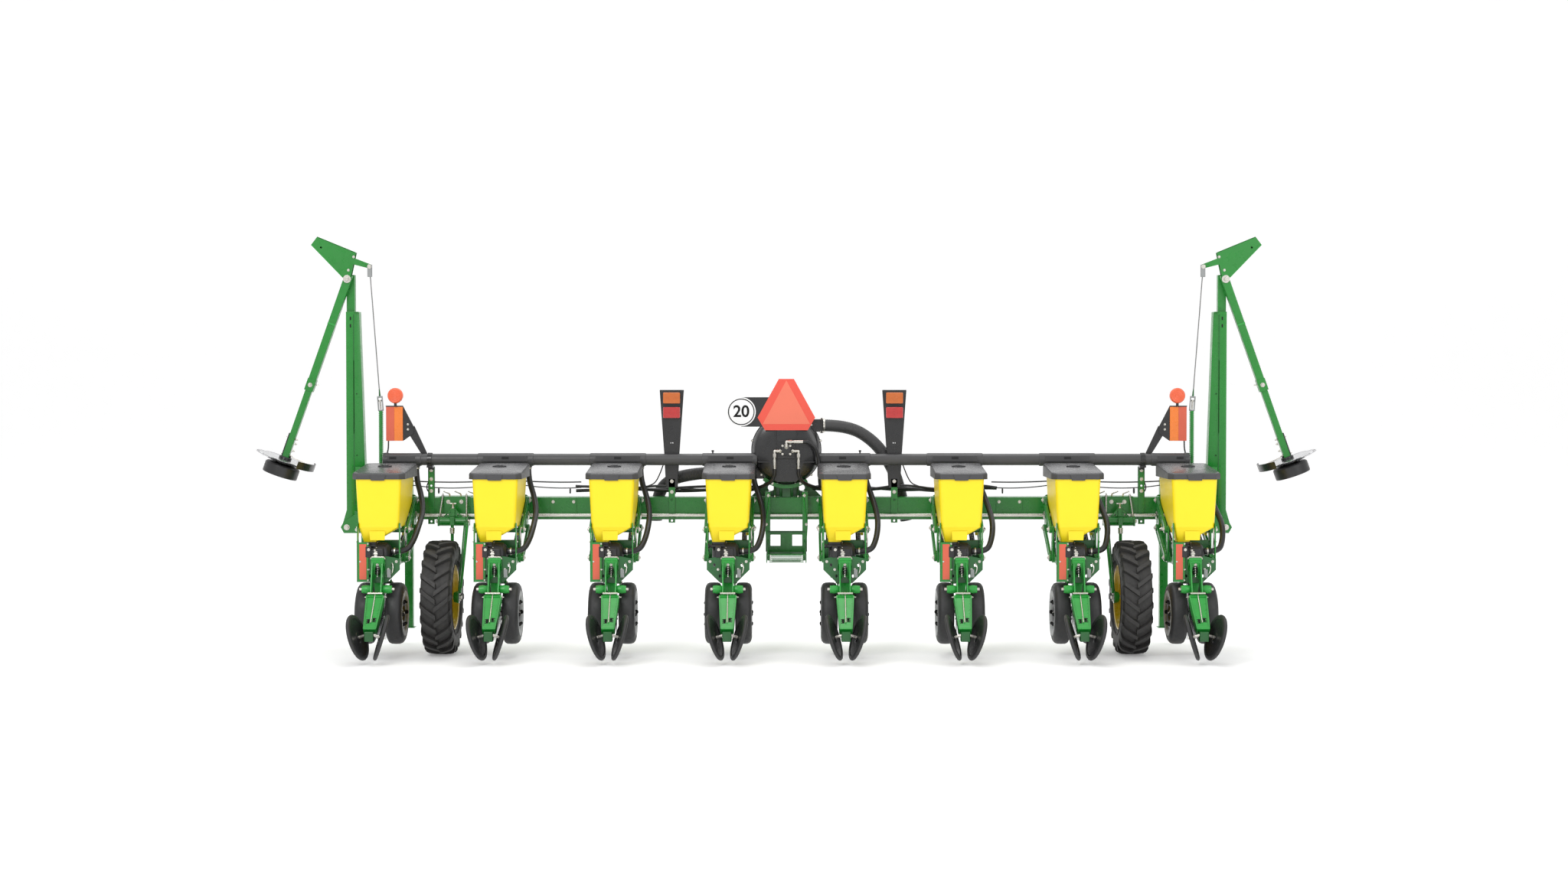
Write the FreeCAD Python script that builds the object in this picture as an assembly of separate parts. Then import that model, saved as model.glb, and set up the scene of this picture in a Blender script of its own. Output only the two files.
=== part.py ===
"""Eight-row mounted corn planter with vacuum seed meters, in millimetres.

The origin is the midpoint between the two lower hitch pins. +X points right as seen
from behind, +Y is the direction of travel and +Z is up. The planter is raised, so every
row unit and wheel arm hangs on its lower stop, and both markers are folded upright.
"""
import FreeCAD, Part
import math
import os
from FreeCAD import Vector

# ---- rows and toolbar
ROWS = 8
ROW_SPACING = 762.0
BAR_SIZE = 152.4            # square toolbar
BAR_WALL = 9.5
BAR_OVERHANG = 165.0        # toolbar beyond the outer rows
BAR_Y = -300.0              # toolbar axis from the lower hitch pins
BAR_Z = 145.0
OUTER_ROW = ROW_SPACING * (ROWS - 1) / 2
BAR_HALF = OUTER_ROW + BAR_OVERHANG
BAR_REAR = BAR_Y - BAR_SIZE / 2
BAR_FRONT = BAR_Y + BAR_SIZE / 2
BAR_TOP = BAR_Z + BAR_SIZE / 2
BAR_BOTTOM = BAR_Z - BAR_SIZE / 2

# ---- clearances
RUNNING = 0.05              # radial, in every working pivot
OPEN_PIVOT = 0.4            # radial, at the pivot where each linkage is left open
SEAT = 0.3                  # between pieces that only rest on each other

# ---- three-point hitch
HITCH_SPREAD = 965.0        # between the shoulders of the lower pins
LOWER_PIN_R = 18.3
LOWER_PIN_LENGTH = 60.0
MAST_HEIGHT = 560.0
TOP_LINK_R = 16.0
TOP_LINK_GAP = 60.0         # between the two ears of the mast

# ---- parallel linkage
ARM_LENGTH = 400.0
ARM_DROP = 26.0             # degrees below level on the lower stop
ARM_SPREAD = 188.0          # upper pivot above lower pivot
ARM_DEPTH = 50.0
ARM_THICK = 16.0
HOPPER_HALF = 150.0         # half the hopper's width at its rim
ARM_INNER = HOPPER_HALF - 3.0   # inner face of each arm, beside the narrower lower hopper
ARM_PIN_R = 12.5
HEAD_REACH = 94.0           # toolbar's rear face to the front pivots
FRONT_PIVOT_Y = BAR_REAR - HEAD_REACH
LOWER_FRONT_Z = BAR_Z - 128.0
UPPER_FRONT_Z = LOWER_FRONT_Z + ARM_SPREAD
ARM_BACK = ARM_LENGTH * math.cos(math.radians(ARM_DROP))
ARM_DOWN = ARM_LENGTH * math.sin(math.radians(ARM_DROP))
UNIT_Y = FRONT_PIVOT_Y - ARM_BACK       # lower rear pivot, where each row unit is set out
UNIT_Z = LOWER_FRONT_Z - ARM_DOWN

# ---- row unit, set out from its lower rear pivot
EAR_OUTER = ARM_INNER - 1.0
EAR_THICK = 12.0
EAR_INNER = EAR_OUTER - EAR_THICK
SHANK_HALF_DEPTH = 30.0
LEG_HALF = 45.0
LEG_BOTTOM = -142.0
REAR_PLATE_Y = -220.5
PLATE = 6.0
DISC_R = 190.5
DISC_THICK = 3.5
DISC_TOE = 5.0
DISC_OFFSET = 19.0
DISC_HUB_R = 30.0
OPENER_HALF = 7.0           # half the thickness of the plate between the discs
DISC_Y = -50.0
DISC_Z = -352.0
GAUGE_R = 203.2
GAUGE_WIDTH = 108.0
GAUGE_INNER = 46.0
GAUGE_Y = -90.0
GAUGE_Z = -359.0
GAUGE_PIVOT_Y = 40.0
GAUGE_PIVOT_Z = -167.0
GAUGE_BOLT_R = 10.0
CLOSING_R = 152.0
CLOSING_WIDTH = 25.0
CLOSING_CAMBER = 17.0
CLOSING_TOE = 10.0
CLOSING_OFFSET = 76.5
CLOSING_Y = -570.0
CLOSING_Z = -469.0
SPINDLE_R = 8.0
METER_R = 82.0
METER_Y = -136.0
METER_Z = 32.0
PORT_R = 19.0               # vacuum hose and meter port
PORT_END = 105.0
PORT_Y = METER_Y - 15.0
PORT_Z = METER_Z + 22.0

# ---- hopper and lid, set out from the same pivot
HOPPER_TAPER = 0.0518       # each side per millimetre of height
HOPPER_RIM_Z = 543.0
HOPPER_KNEE_Z = 220.0
HOPPER_OUTLET_Z = 116.0
HOPPER_FRONT = 327.0
HOPPER_REAR = -228.5
HOPPER_WALL = 4.0
OUTLET_X = -65.0
OUTLET_HALF = 42.0
LID_OVERHANG = 22.0
LID_WALL = 4.0
LID_SKIRT = 14.0            # skirt below the hopper's rim
LID_REAR_RISE = 24.0
LID_FRONT_RISE = 74.0
LID_FRONT_GAP = 7.5         # lid beyond the hopper, front and rear

# ---- drive shaft and drive wheels
SHAFT_R = 11.0
SHAFT_Y = BAR_REAR - 44.0
SHAFT_Z = BAR_Z - 43.0
WHEEL_X = ROW_SPACING * 3
WHEEL_R = 378.5
WHEEL_WIDTH = 200.0
RIM_R = 213.0
TYRE_WALL = 14.0
WHEEL_ARM_BACK = 340.0
WHEEL_ARM_DOWN = 483.0
WHEEL_PIVOT_Z = BAR_Z - 84.0
AXLE_R = 16.0
PIVOT_TUBE_R = 30.0

# ---- vacuum system
PIPE_R = 39.0
TEE_R = 44.0
TEE_LENGTH = 382.0
PIPE_WALL = 4.0
PIPE_Y = BAR_REAR - 53.5
PIPE_Z = BAR_Z + 335.0
PIPE_HALF = OUTER_ROW + 70.0
POST_X = WHEEL_X + 134.0        # post that carries the pipe and the end lamps
FAN_R = 232.0
FAN_DEPTH = 200.0
FAN_Y = BAR_REAR + 96.0     # front face of the housing
FAN_Z = BAR_Z + 400.0
DUCT_R = 42.0
DUCT_Y = FAN_Y - 55.0

# ---- markers
MARKER_X = BAR_HALF + 168.0
MARKER_BASE_Z = BAR_Z - 130.0
MARKER_HEIGHT = 1692.0      # base pivot to fold pivot
MARKER_DEPTH = 110.0
MARKER_SKIN = 6.0
BOOM_TILT = 19.5            # folded boom off the vertical
BOOM_LENGTH = 1285.0
BOOM_TUBE = 53.0
BOOM_WALL = 4.0
MARKER_DISC_R = 203.0
MARKER_DISC_GAP = 28.0         # from the boom's end to the marker disc
MARKER_HUB = 34.0              # the disc's hub, which runs on the boom's stub
MARKER_PIN_R = 14.0


def box(x0, x1, y0, y1, z0, z1):
    return Part.makeBox(x1 - x0, y1 - y0, z1 - z0, Vector(x0, y0, z0))


def rod(start, end, radius):
    start, end = Vector(*start), Vector(*end)
    return Part.makeCylinder(radius, (end - start).Length, start, end - start)


def rod_x(x0, x1, y, z, radius):
    return rod((x0, y, z), (x1, y, z), radius)


def rod_y(x, y0, y1, z, radius):
    return rod((x, y0, z), (x, y1, z), radius)


def plate_x(outline, x0, x1):
    """A flat plate from an outline of (y, z) points, between two x faces."""
    points = [Vector(x0, y, z) for y, z in outline]
    return Part.Face(Part.makePolygon(points + points[:1])).extrude(Vector(x1 - x0, 0, 0))


def plate_y(outline, y0, y1):
    """A flat plate from an outline of (x, z) points, between two y faces."""
    points = [Vector(x, y0, z) for x, z in outline]
    return Part.Face(Part.makePolygon(points + points[:1])).extrude(Vector(0, y1 - y0, 0))


def turned_x(profile):
    """A wheel turned about the X axis from a closed profile of (x, radius) points."""
    points = [Vector(x, 0, r) for x, r in profile]
    face = Part.Face(Part.makePolygon(points + points[:1]))
    return face.revolve(Vector(0, 0, 0), Vector(1, 0, 0), 360)


def moved(shape, x=0.0, y=0.0, z=0.0):
    copy = shape.copy()
    copy.translate(Vector(x, y, z))
    return copy


def mirrored(shape):
    return shape.mirror(Vector(0, 0, 0), Vector(1, 0, 0))


def both_sides(shape):
    return [shape, mirrored(shape)]


def fused(first, *others):
    return first.fuse(list(others)).removeSplitter()


def cord(points, radius):
    """A hose along straight runs joined by tangent arcs as large as the runs allow."""
    points = [Vector(*p) for p in points]
    edges, start = [], points[0]
    for before, corner, after in zip(points, points[1:], points[2:]):
        back, ahead = before - corner, after - corner
        trim = 0.45 * min(back.Length, ahead.Length)
        back.normalize()
        ahead.normalize()
        first, last = corner + back * trim, corner + ahead * trim
        half = (math.pi - back.getAngle(ahead)) / 2
        bend = trim / math.tan(half)
        middle = back + ahead
        middle.normalize()
        centre = corner + middle * (bend / math.cos(half))
        edges += [Part.LineSegment(start, first).toShape(),
                  Part.Arc(first, centre - middle * bend, last).toShape()]
        start = last
        print("arc radius %.0f for a hose of radius %.0f" % (bend, radius))
    edges.append(Part.LineSegment(start, points[-1]).toShape())
    path = Part.Wire(edges)
    section = Part.Wire(Part.makeCircle(radius, points[0], points[1] - points[0]))
    return path.makePipeShell([section], True, True)


def row_x(row):
    return (row - (ROWS - 1) / 2) * ROW_SPACING


# ---- toolbar and hitch

def toolbar():
    bar = box(-BAR_HALF, BAR_HALF, BAR_REAR, BAR_FRONT, BAR_BOTTOM, BAR_TOP)
    inside = box(-BAR_HALF - 1, BAR_HALF + 1, BAR_REAR + BAR_WALL, BAR_FRONT - BAR_WALL,
                 BAR_BOTTOM + BAR_WALL, BAR_TOP - BAR_WALL)
    pieces = [bar.cut(inside)]
    pieces += both_sides(marker_bracket())
    for side in (-1, 1):
        pieces.append(moved(wheel_bracket(), x=side * WHEEL_X + WHEEL_PIVOT_SHIFT * -side))
    return pieces


MARKER_EAR_GAP = MARKER_DEPTH / 2 + 1.0


def marker_bracket():
    """End plate of the toolbar with two ears and the pin of the marker's base pivot."""
    plate = 16.0
    end = box(BAR_HALF, BAR_HALF + plate, BAR_REAR, BAR_FRONT, MARKER_BASE_Z - 40, BAR_TOP)
    ear = plate_y([(BAR_HALF, MARKER_BASE_Z - 40), (MARKER_X + 20, MARKER_BASE_Z - 40),
                   (MARKER_X + 42, MARKER_BASE_Z), (MARKER_X + 20, MARKER_BASE_Z + 40),
                   (BAR_HALF, BAR_Z + 30)], 0, 12)
    pin = rod_y(MARKER_X, BAR_Y - MARKER_EAR_GAP - 24, BAR_Y + MARKER_EAR_GAP + 24,
                MARKER_BASE_Z, MARKER_PIN_R)
    return fused(end, moved(ear, y=BAR_Y + MARKER_EAR_GAP),
                 moved(ear, y=BAR_Y - MARKER_EAR_GAP - 12), pin)


WHEEL_TUBE_HALF = 88.0
WHEEL_BAR = 10.0            # thickness of each wheel arm
WHEEL_PIVOT_SHIFT = 26.0    # pivot's middle towards the machine's middle from the wheel
WHEEL_PIN_R = 15.0


def wheel_bracket():
    """Bracket of one drive wheel's arm, about the middle of its pivot."""
    half = WHEEL_TUBE_HALF + 2
    back = box(-half - 14, half + 14, BAR_REAR - PLATE, BAR_REAR, BAR_BOTTOM - 40, BAR_TOP)
    top = box(-half - 14, half + 14, BAR_REAR - PLATE, BAR_FRONT, BAR_TOP, BAR_TOP + PLATE)
    ear = plate_x([(BAR_REAR - PLATE, BAR_BOTTOM + 40), (BAR_REAR - PLATE, BAR_BOTTOM - 40),
                   (FRONT_PIVOT_Y - 25, WHEEL_PIVOT_Z - 30),
                   (FRONT_PIVOT_Y - 25, WHEEL_PIVOT_Z + 20)], half, half + 12)
    shaft_gap = rod_x(-half - 20, half + 20, SHAFT_Y, SHAFT_Z, SHAFT_R + 6)
    pin = rod_x(-half - 18, half + 18, FRONT_PIVOT_Y, WHEEL_PIVOT_Z, WHEEL_PIN_R)
    return fused(back, top, ear, mirrored(ear), pin).cut(shaft_gap)


def row_head():
    """Bracket on the toolbar's rear face with the four front pins of one row's linkage."""
    top, bottom = UPPER_FRONT_Z + 35, LOWER_FRONT_Z - 35
    back = box(-EAR_OUTER, EAR_OUTER, BAR_REAR - EAR_THICK, BAR_REAR, bottom, top)
    ear = box(EAR_INNER, EAR_OUTER, FRONT_PIVOT_Y - 24, BAR_REAR - EAR_THICK, bottom + 8, top - 8)
    pins = [rod_x(EAR_INNER, ARM_INNER + ARM_THICK + 9, FRONT_PIVOT_Y, z, ARM_PIN_R)
            for z in (LOWER_FRONT_Z, UPPER_FRONT_Z)]
    head = fused(back, ear, mirrored(ear), *pins, *[mirrored(p) for p in pins])
    return head.cut(rod_x(-EAR_OUTER - 5, EAR_OUTER + 5, SHAFT_Y, SHAFT_Z, SHAFT_R + RUNNING))


def hitch_frame():
    """Mast with the top link ears, and the two lower hitch brackets with their pins."""
    foot, plate = 60.0, 16.0
    ears = []
    for side in (-1, 1):
        inner = side * TOP_LINK_GAP / 2
        ear = plate_x([(BAR_FRONT, BAR_TOP), (BAR_FRONT - foot, BAR_TOP),
                       (-60, MAST_HEIGHT - 50), (-40, MAST_HEIGHT + 45), (40, MAST_HEIGHT + 45),
                       (45, MAST_HEIGHT - 45)], inner, inner + side * plate)
        hole = rod_x(-200, 200, 0, MAST_HEIGHT, TOP_LINK_R)
        ears.append(ear.cut(hole))
    spacer = box(-TOP_LINK_GAP / 2, TOP_LINK_GAP / 2, BAR_FRONT - foot + 5, BAR_FRONT - 5,
                 BAR_TOP, BAR_TOP + 60)
    mast = fused(ears[0], ears[1], spacer)
    face = HITCH_SPREAD / 2
    lug = plate_x([(BAR_FRONT, BAR_TOP), (BAR_FRONT, BAR_BOTTOM), (0, -45), (45, -20), (45, 20),
                   (20, 45)], face - 40, face)
    pin = rod_x(face, face + LOWER_PIN_LENGTH, 0, 0, LOWER_PIN_R)
    return [mast] + both_sides(fused(lug, pin))


# ---- stands and step

def parking_stand():
    half, top, foot = 28.5, 120.0, 555.0
    y0 = BAR_FRONT + 12
    x = OUTER_ROW - 64
    post = box(x - half, x + half, y0, y0 + 2 * half, BAR_TOP - foot - 350, BAR_TOP + top)
    shoe = box(x - half - 12, x + half + 12, y0 - 12, y0 + 2 * half + 12,
               BAR_TOP - foot - 356, BAR_TOP - foot - 350)
    clamp = box(x - half - 10, x + half + 10, BAR_FRONT, y0, BAR_BOTTOM + 10, BAR_TOP - 10)
    return fused(post, shoe, clamp)


def boarding_step():
    """Step hung from the toolbar between the two middle rows."""
    half, tread_depth = 145.0, 220.0
    top, bottom = BAR_TOP + 40, BAR_BOTTOM - 275
    y1 = SHAFT_Y - SHAFT_R - 12
    side = box(half - 36, half, y1 - 8, y1, bottom, top)
    hook = box(half - 36, half, y1, BAR_REAR, top - 46, top)
    cap = box(half - 36, half, BAR_REAR, BAR_FRONT, BAR_TOP, top)
    panel = box(-half, half, y1 - 8, y1, bottom + 60, bottom + 200)
    windows = [box(s * 60 - 42, s * 60 + 42, y1 - 20, y1 + 10, bottom + 100, bottom + 180)
               for s in (-1, 1)]
    tread = box(-half, half, y1 - tread_depth, y1, bottom, bottom + 60)
    hollow = box(-half + 5, half - 5, y1 - tread_depth + 5, y1 - 5, bottom - 1, bottom + 54)
    rails = [p for piece in (side, hook, cap) for p in both_sides(piece)]
    return fused(panel.cut(windows[0]).cut(windows[1]), tread.cut(hollow), *rails)


# ---- row unit, about its row's middle and its lower rear pivot

def arm_pair(rear_clearance):
    """Two arms from the front pins to the rear pins, about the front pivot."""
    outer = ARM_INNER + ARM_THICK
    flat = box(ARM_INNER, outer, -ARM_LENGTH, 0, -ARM_DEPTH / 2, ARM_DEPTH / 2)
    arm = fused(flat, rod_x(ARM_INNER, outer, 0, 0, ARM_DEPTH / 2),
                rod_x(ARM_INNER, outer, -ARM_LENGTH, 0, ARM_DEPTH / 2))
    arm = arm.cut(rod_x(0, outer + 5, 0, 0, ARM_PIN_R + RUNNING))
    arm = arm.cut(rod_x(0, outer + 5, -ARM_LENGTH, 0, ARM_PIN_R + rear_clearance))
    arm.rotate(Vector(0, 0, 0), Vector(1, 0, 0), ARM_DROP)
    return [moved(a, y=FRONT_PIVOT_Y) for a in both_sides(arm)]


def unit_weldment():
    """Shank, side rails, hopper uprights and rear plate of one row unit."""
    depth = SHANK_HALF_DEPTH
    block = box(-EAR_OUTER, EAR_OUTER, -depth, depth, -30, 128)
    ear = box(EAR_INNER, EAR_OUTER, -depth, depth, 128, ARM_SPREAD + 27)
    leg = box(-LEG_HALF, LEG_HALF, -depth, depth + 25, LEG_BOTTOM, -30)
    rail = box(EAR_INNER - PLATE, EAR_INNER, REAR_PLATE_Y, -depth, -30, 10)
    upright = box(EAR_INNER, EAR_INNER + PLATE, REAR_PLATE_Y, REAR_PLATE_Y + 35, -30,
                  HOPPER_KNEE_Z + 12)
    web = box(EAR_INNER - PLATE, EAR_INNER + PLATE, REAR_PLATE_Y, REAR_PLATE_Y + 35, -30, 10)
    wide = EAR_INNER + PLATE
    rear = plate_y([(-wide, 10), (-wide, -62), (-52, -148), (52, -148), (wide, -62), (wide, 10)],
                   REAR_PLATE_Y - PLATE, REAR_PLATE_Y)
    slots = [rod_y(s * (wide - 44), REAR_PLATE_Y - 9, REAR_PLATE_Y + 1, z, 8) for s in (-1, 1)
             for z in (-20, -62)]
    pins = [rod_x(EAR_INNER, ARM_INNER + ARM_THICK + 9, 0, z, ARM_PIN_R)
            for z in (0, ARM_SPREAD)]
    sides = [p for piece in (ear, rail, upright, web, *pins) for p in both_sides(piece)]
    return fused(block, leg, rear.cut(slots), *sides)


def opener_plate():
    plate = plate_x([(55, LEG_BOTTOM), (55, -190), (-10, DISC_Z - 38), (-75, DISC_Z - 38),
                     (-75, LEG_BOTTOM)], -OPENER_HALF, OPENER_HALF)
    bolt = rod_x(-34, 34, GAUGE_PIVOT_Y, GAUGE_PIVOT_Z, GAUGE_BOLT_R)
    return fused(plate, bolt)


def opener_disc():
    disc = rod_x(DISC_OFFSET - DISC_THICK / 2, DISC_OFFSET + DISC_THICK / 2, 0, 0, DISC_R)
    reach = DISC_OFFSET - OPENER_HALF - SEAT - DISC_HUB_R * math.sin(math.radians(DISC_TOE))
    disc = fused(disc, rod_x(DISC_OFFSET - reach, DISC_OFFSET, 0, 0, DISC_HUB_R))
    disc.rotate(Vector(DISC_OFFSET, 0, 0), Vector(0, 0, 1), DISC_TOE)
    return moved(disc, y=DISC_Y, z=DISC_Z)


def gauge_wheel():
    inner, outer = GAUGE_INNER, GAUGE_INNER + GAUGE_WIDTH
    tread = GAUGE_R - 12
    profile = [(inner, 150), (inner, tread), (inner + 14, GAUGE_R), (outer - 24, GAUGE_R),
               (outer, tread - 10), (outer, 150), (inner + 60, 138), (inner + 60, 32),
               (inner + 74, 32), (inner + 74, 0), (inner + 14, 0), (inner + 14, 32),
               (inner + 50, 32), (inner + 50, 138), (inner + 8, 138)]
    return moved(turned_x(profile), y=GAUGE_Y, z=GAUGE_Z)


def gauge_arm():
    half, x0, x1 = 18.0, 34.0, 44.0
    along = Vector(0, GAUGE_Y - GAUGE_PIVOT_Y, GAUGE_Z - GAUGE_PIVOT_Z)
    bar = box(x0, x1, 0, along.Length, -half, half)
    bar.rotate(Vector(0, 0, 0), Vector(1, 0, 0), math.degrees(math.atan2(along.z, along.y)))
    bar = moved(bar, y=GAUGE_PIVOT_Y, z=GAUGE_PIVOT_Z)
    bolt = rod_x(x1, GAUGE_INNER + 14, GAUGE_Y, GAUGE_Z, GAUGE_BOLT_R)
    ends = [rod_x(x0, x1, GAUGE_PIVOT_Y, GAUGE_PIVOT_Z, half), rod_x(x0, x1, GAUGE_Y, GAUGE_Z, half)]
    return fused(bar, bolt, *ends)


def closing_tilt(shape):
    """Sets a closing wheel's part from straight ahead to its camber and toe."""
    shape.rotate(Vector(0, 0, 0), Vector(0, 1, 0), CLOSING_CAMBER)
    shape.rotate(Vector(0, 0, 0), Vector(0, 0, 1), CLOSING_TOE)
    return moved(shape, x=CLOSING_OFFSET, y=CLOSING_Y, z=CLOSING_Z)


def closing_wheel():
    half = CLOSING_WIDTH / 2
    profile = [(-half, CLOSING_R - 14), (-half + 8, CLOSING_R), (half - 8, CLOSING_R),
               (half, CLOSING_R - 14), (half, CLOSING_R - 30), (4, 100), (4, 30), (half, 30),
               (half, SPINDLE_R + RUNNING), (-half, SPINDLE_R + RUNNING), (-half, 30),
               (-4, 30), (-4, 100), (-half, CLOSING_R - 30)]
    return closing_tilt(turned_x(profile))


def closing_arm():
    """Cast arm that carries the two closing wheels, with its cross pivot tube."""
    start = REAR_PLATE_Y - PLATE
    neck = plate_x([(start, -40), (start - 34, -40), (start - 130, -215), (start - 80, -265),
                    (start, -140)], -36, 36)
    housing = plate_x([(start - 130, -215), (CLOSING_Y - 8, -425), (CLOSING_Y + 4, -492),
                       (start - 150, -350), (start - 80, -265)], -50, 50)
    tube = rod_x(-114, 114, start - 52, -185, 24)
    spindle = closing_tilt(rod_x(-62, CLOSING_WIDTH / 2, 0, 0, SPINDLE_R))
    boss = box(-30, 30, CLOSING_Y - 30, CLOSING_Y + 30, -492, -425)
    return fused(neck, housing, tube, boss, spindle, mirrored(spindle))


def seed_meter():
    dome = rod_x(-25, 75, METER_Y, METER_Z, METER_R)
    seed_side = rod_x(-105, -25, METER_Y, METER_Z - 12, METER_R - 4)
    neck = box(-100, -30, METER_Y - 30, METER_Y + 30, METER_Z, HOPPER_OUTLET_Z)
    port = rod_x(75, PORT_END, PORT_Y, PORT_Z, PORT_R + 3)
    foot = box(20, 60, METER_Y - 20, METER_Y + 20, -30, METER_Z)
    beam = box(-EAR_INNER + PLATE, EAR_INNER - PLATE, METER_Y - 20, METER_Y + 20, -30, -22)
    return fused(dome, seed_side, neck, port, foot, beam)


def reflector():
    """Plate and reflective strip beside one row unit."""
    back = REAR_PLATE_Y - PLATE
    edge = -EAR_INNER - PLATE
    plate = box(edge, edge + 80, back - 4, back, LEG_BOTTOM, HOPPER_OUTLET_Z + 2)
    strip = box(edge + 14, edge + 66, back - 6.5, back - 4, LEG_BOTTOM + 17, HOPPER_OUTLET_Z - 8)
    return [plate, strip]


def hopper_section(height, front, rear, inset):
    half = HOPPER_HALF - (HOPPER_RIM_Z - height) * HOPPER_TAPER - inset
    return section(-half, half, front - inset, rear + inset, height)


def section(x0, x1, front, rear, height):
    corners = [Vector(x0, rear, height), Vector(x1, rear, height), Vector(x1, front, height),
               Vector(x0, front, height)]
    return Part.makePolygon(corners + corners[:1])


def hopper_body(inset):
    """Outer or inner form of the seed hopper, from its rim down to its outlet."""
    above = HOPPER_WALL if inset else 0.0
    shoulder = (HOPPER_RIM_Z + HOPPER_KNEE_Z) / 2 - 23
    sections = [hopper_section(HOPPER_RIM_Z + above, HOPPER_FRONT, HOPPER_REAR, inset),
                hopper_section(shoulder, HOPPER_FRONT - 13, HOPPER_REAR + 5, inset),
                hopper_section(HOPPER_KNEE_Z, 70, HOPPER_REAR + 13, inset),
                section(OUTLET_X - OUTLET_HALF + inset, OUTLET_X + OUTLET_HALF - inset,
                        METER_Y + 50 - inset, METER_Y - 36 + inset, HOPPER_OUTLET_Z - above / 4)]
    return Part.makeLoft(sections, True, True)


def hopper():
    return hopper_body(0.0).cut(hopper_body(HOPPER_WALL))


def hopper_lid():
    """Wedge-shaped lid: a skirt outside the hopper's rim and a ledge that rests on it."""
    half = HOPPER_HALF + LID_OVERHANG
    rear, front = HOPPER_REAR - LID_FRONT_GAP - 4, HOPPER_FRONT + LID_FRONT_GAP
    low = HOPPER_RIM_Z - LID_SKIRT
    lid = plate_x([(rear, low), (front, low), (front, HOPPER_RIM_Z + LID_FRONT_RISE),
                   (rear, HOPPER_RIM_Z + LID_REAR_RISE)], -half, half)
    skirt = box(-half + LID_WALL, half - LID_WALL, rear + LID_WALL, front - LID_WALL,
                low - 1, HOPPER_RIM_Z + SEAT)
    roof = LID_WALL + 2
    cavity = plate_x([(rear + 22, low), (front - 22, low),
                      (front - 22, HOPPER_RIM_Z + LID_FRONT_RISE - roof),
                      (rear + 22, HOPPER_RIM_Z + LID_REAR_RISE - roof)],
                     -HOPPER_HALF + 12, HOPPER_HALF - 12)
    return lid.cut(skirt).cut(cavity)


# ---- drive wheels

def wheel_arm():
    """Arm of the right drive wheel, with its pivot tube and its axle."""
    pivot_x = WHEEL_X - WHEEL_PIVOT_SHIFT
    inner = pivot_x - WHEEL_TUBE_HALF
    axle_y, axle_z = FRONT_PIVOT_Y - WHEEL_ARM_BACK, WHEEL_PIVOT_Z - WHEEL_ARM_DOWN
    tube = rod_x(inner, pivot_x + WHEEL_TUBE_HALF, FRONT_PIVOT_Y, WHEEL_PIVOT_Z, PIVOT_TUBE_R)
    length = math.hypot(WHEEL_ARM_BACK, WHEEL_ARM_DOWN)
    bar = box(inner, inner + WHEEL_BAR, -length, 0, -28, 28)
    bar.rotate(Vector(0, 0, 0), Vector(1, 0, 0),
               math.degrees(math.atan2(WHEEL_ARM_DOWN, WHEEL_ARM_BACK)))
    bar = moved(bar, y=FRONT_PIVOT_Y, z=WHEEL_PIVOT_Z)
    eye = rod_x(inner, inner + WHEEL_BAR, axle_y, axle_z, 42)
    axle = rod_x(inner, WHEEL_X + 50, axle_y, axle_z, AXLE_R)
    bore = rod_x(inner - 5, pivot_x + WHEEL_TUBE_HALF + 5, FRONT_PIVOT_Y, WHEEL_PIVOT_Z,
                 WHEEL_PIN_R + RUNNING)
    return fused(tube, bar, eye, axle).cut(bore)


def drive_wheel():
    """Tyre, rim and hub of the right drive wheel."""
    half, wall = WHEEL_WIDTH / 2, TYRE_WALL
    tyre = turned_x([(-75, RIM_R), (-half, 265), (-half, 325), (-half + 22, WHEEL_R - 4),
                     (0, WHEEL_R), (half - 22, WHEEL_R - 4), (half, 325), (half, 265),
                     (75, RIM_R), (75 - wall, RIM_R), (half - wall, 270), (half - wall, 325),
                     (half - 36, WHEEL_R - 26), (-half + 36, WHEEL_R - 26),
                     (-half + wall, 325), (-half + wall, 270), (-75 + wall, RIM_R)])
    rim = turned_x([(-82, RIM_R), (82, RIM_R), (82, RIM_R - 8), (20, RIM_R - 30),
                    (8, RIM_R - 60), (8, 55), (45, 55), (45, AXLE_R + RUNNING),
                    (-45, AXLE_R + RUNNING), (-45, 55), (0, 55), (0, RIM_R - 60),
                    (10, RIM_R - 34), (-82, RIM_R - 8)])
    place = dict(x=WHEEL_X, y=FRONT_PIVOT_Y - WHEEL_ARM_BACK, z=WHEEL_PIVOT_Z - WHEEL_ARM_DOWN)
    return [moved(tyre, **place), moved(rim, **place)]


# ---- vacuum system

def manifold_post():
    """Post on the toolbar's rear face with a cradle under the manifold pipe."""
    face = BAR_REAR - PLATE
    post = box(POST_X - 22, POST_X + 22, face, BAR_REAR, BAR_BOTTOM - 30, PIPE_Z - 20)
    shelf = box(POST_X - 22, POST_X + 22, PIPE_Y - 20, face, PIPE_Z - PIPE_R - 16, PIPE_Z - PIPE_R)
    return fused(post, shelf)


def manifold():
    """Right half of the vacuum pipe with a tee over each row, butted on the fan housing."""
    inner = FAN_R - 42
    pipe = rod_x(inner, PIPE_HALF, PIPE_Y, PIPE_Z, PIPE_R)
    tees = [rod_x(max(row_x(row) - TEE_LENGTH / 2, inner),
                  min(row_x(row) + TEE_LENGTH / 2, PIPE_HALF), PIPE_Y, PIPE_Z, TEE_R)
            for row in range(ROWS // 2, ROWS)]
    bore = rod_x(inner - 1, PIPE_HALF - PIPE_WALL, PIPE_Y, PIPE_Z, PIPE_R - PIPE_WALL)
    fan = rod_y(0, FAN_Y - FAN_DEPTH - 40, FAN_Y + 40, FAN_Z, FAN_R + SEAT)
    return fused(pipe, *tees).cut(bore).cut(fan)


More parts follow.
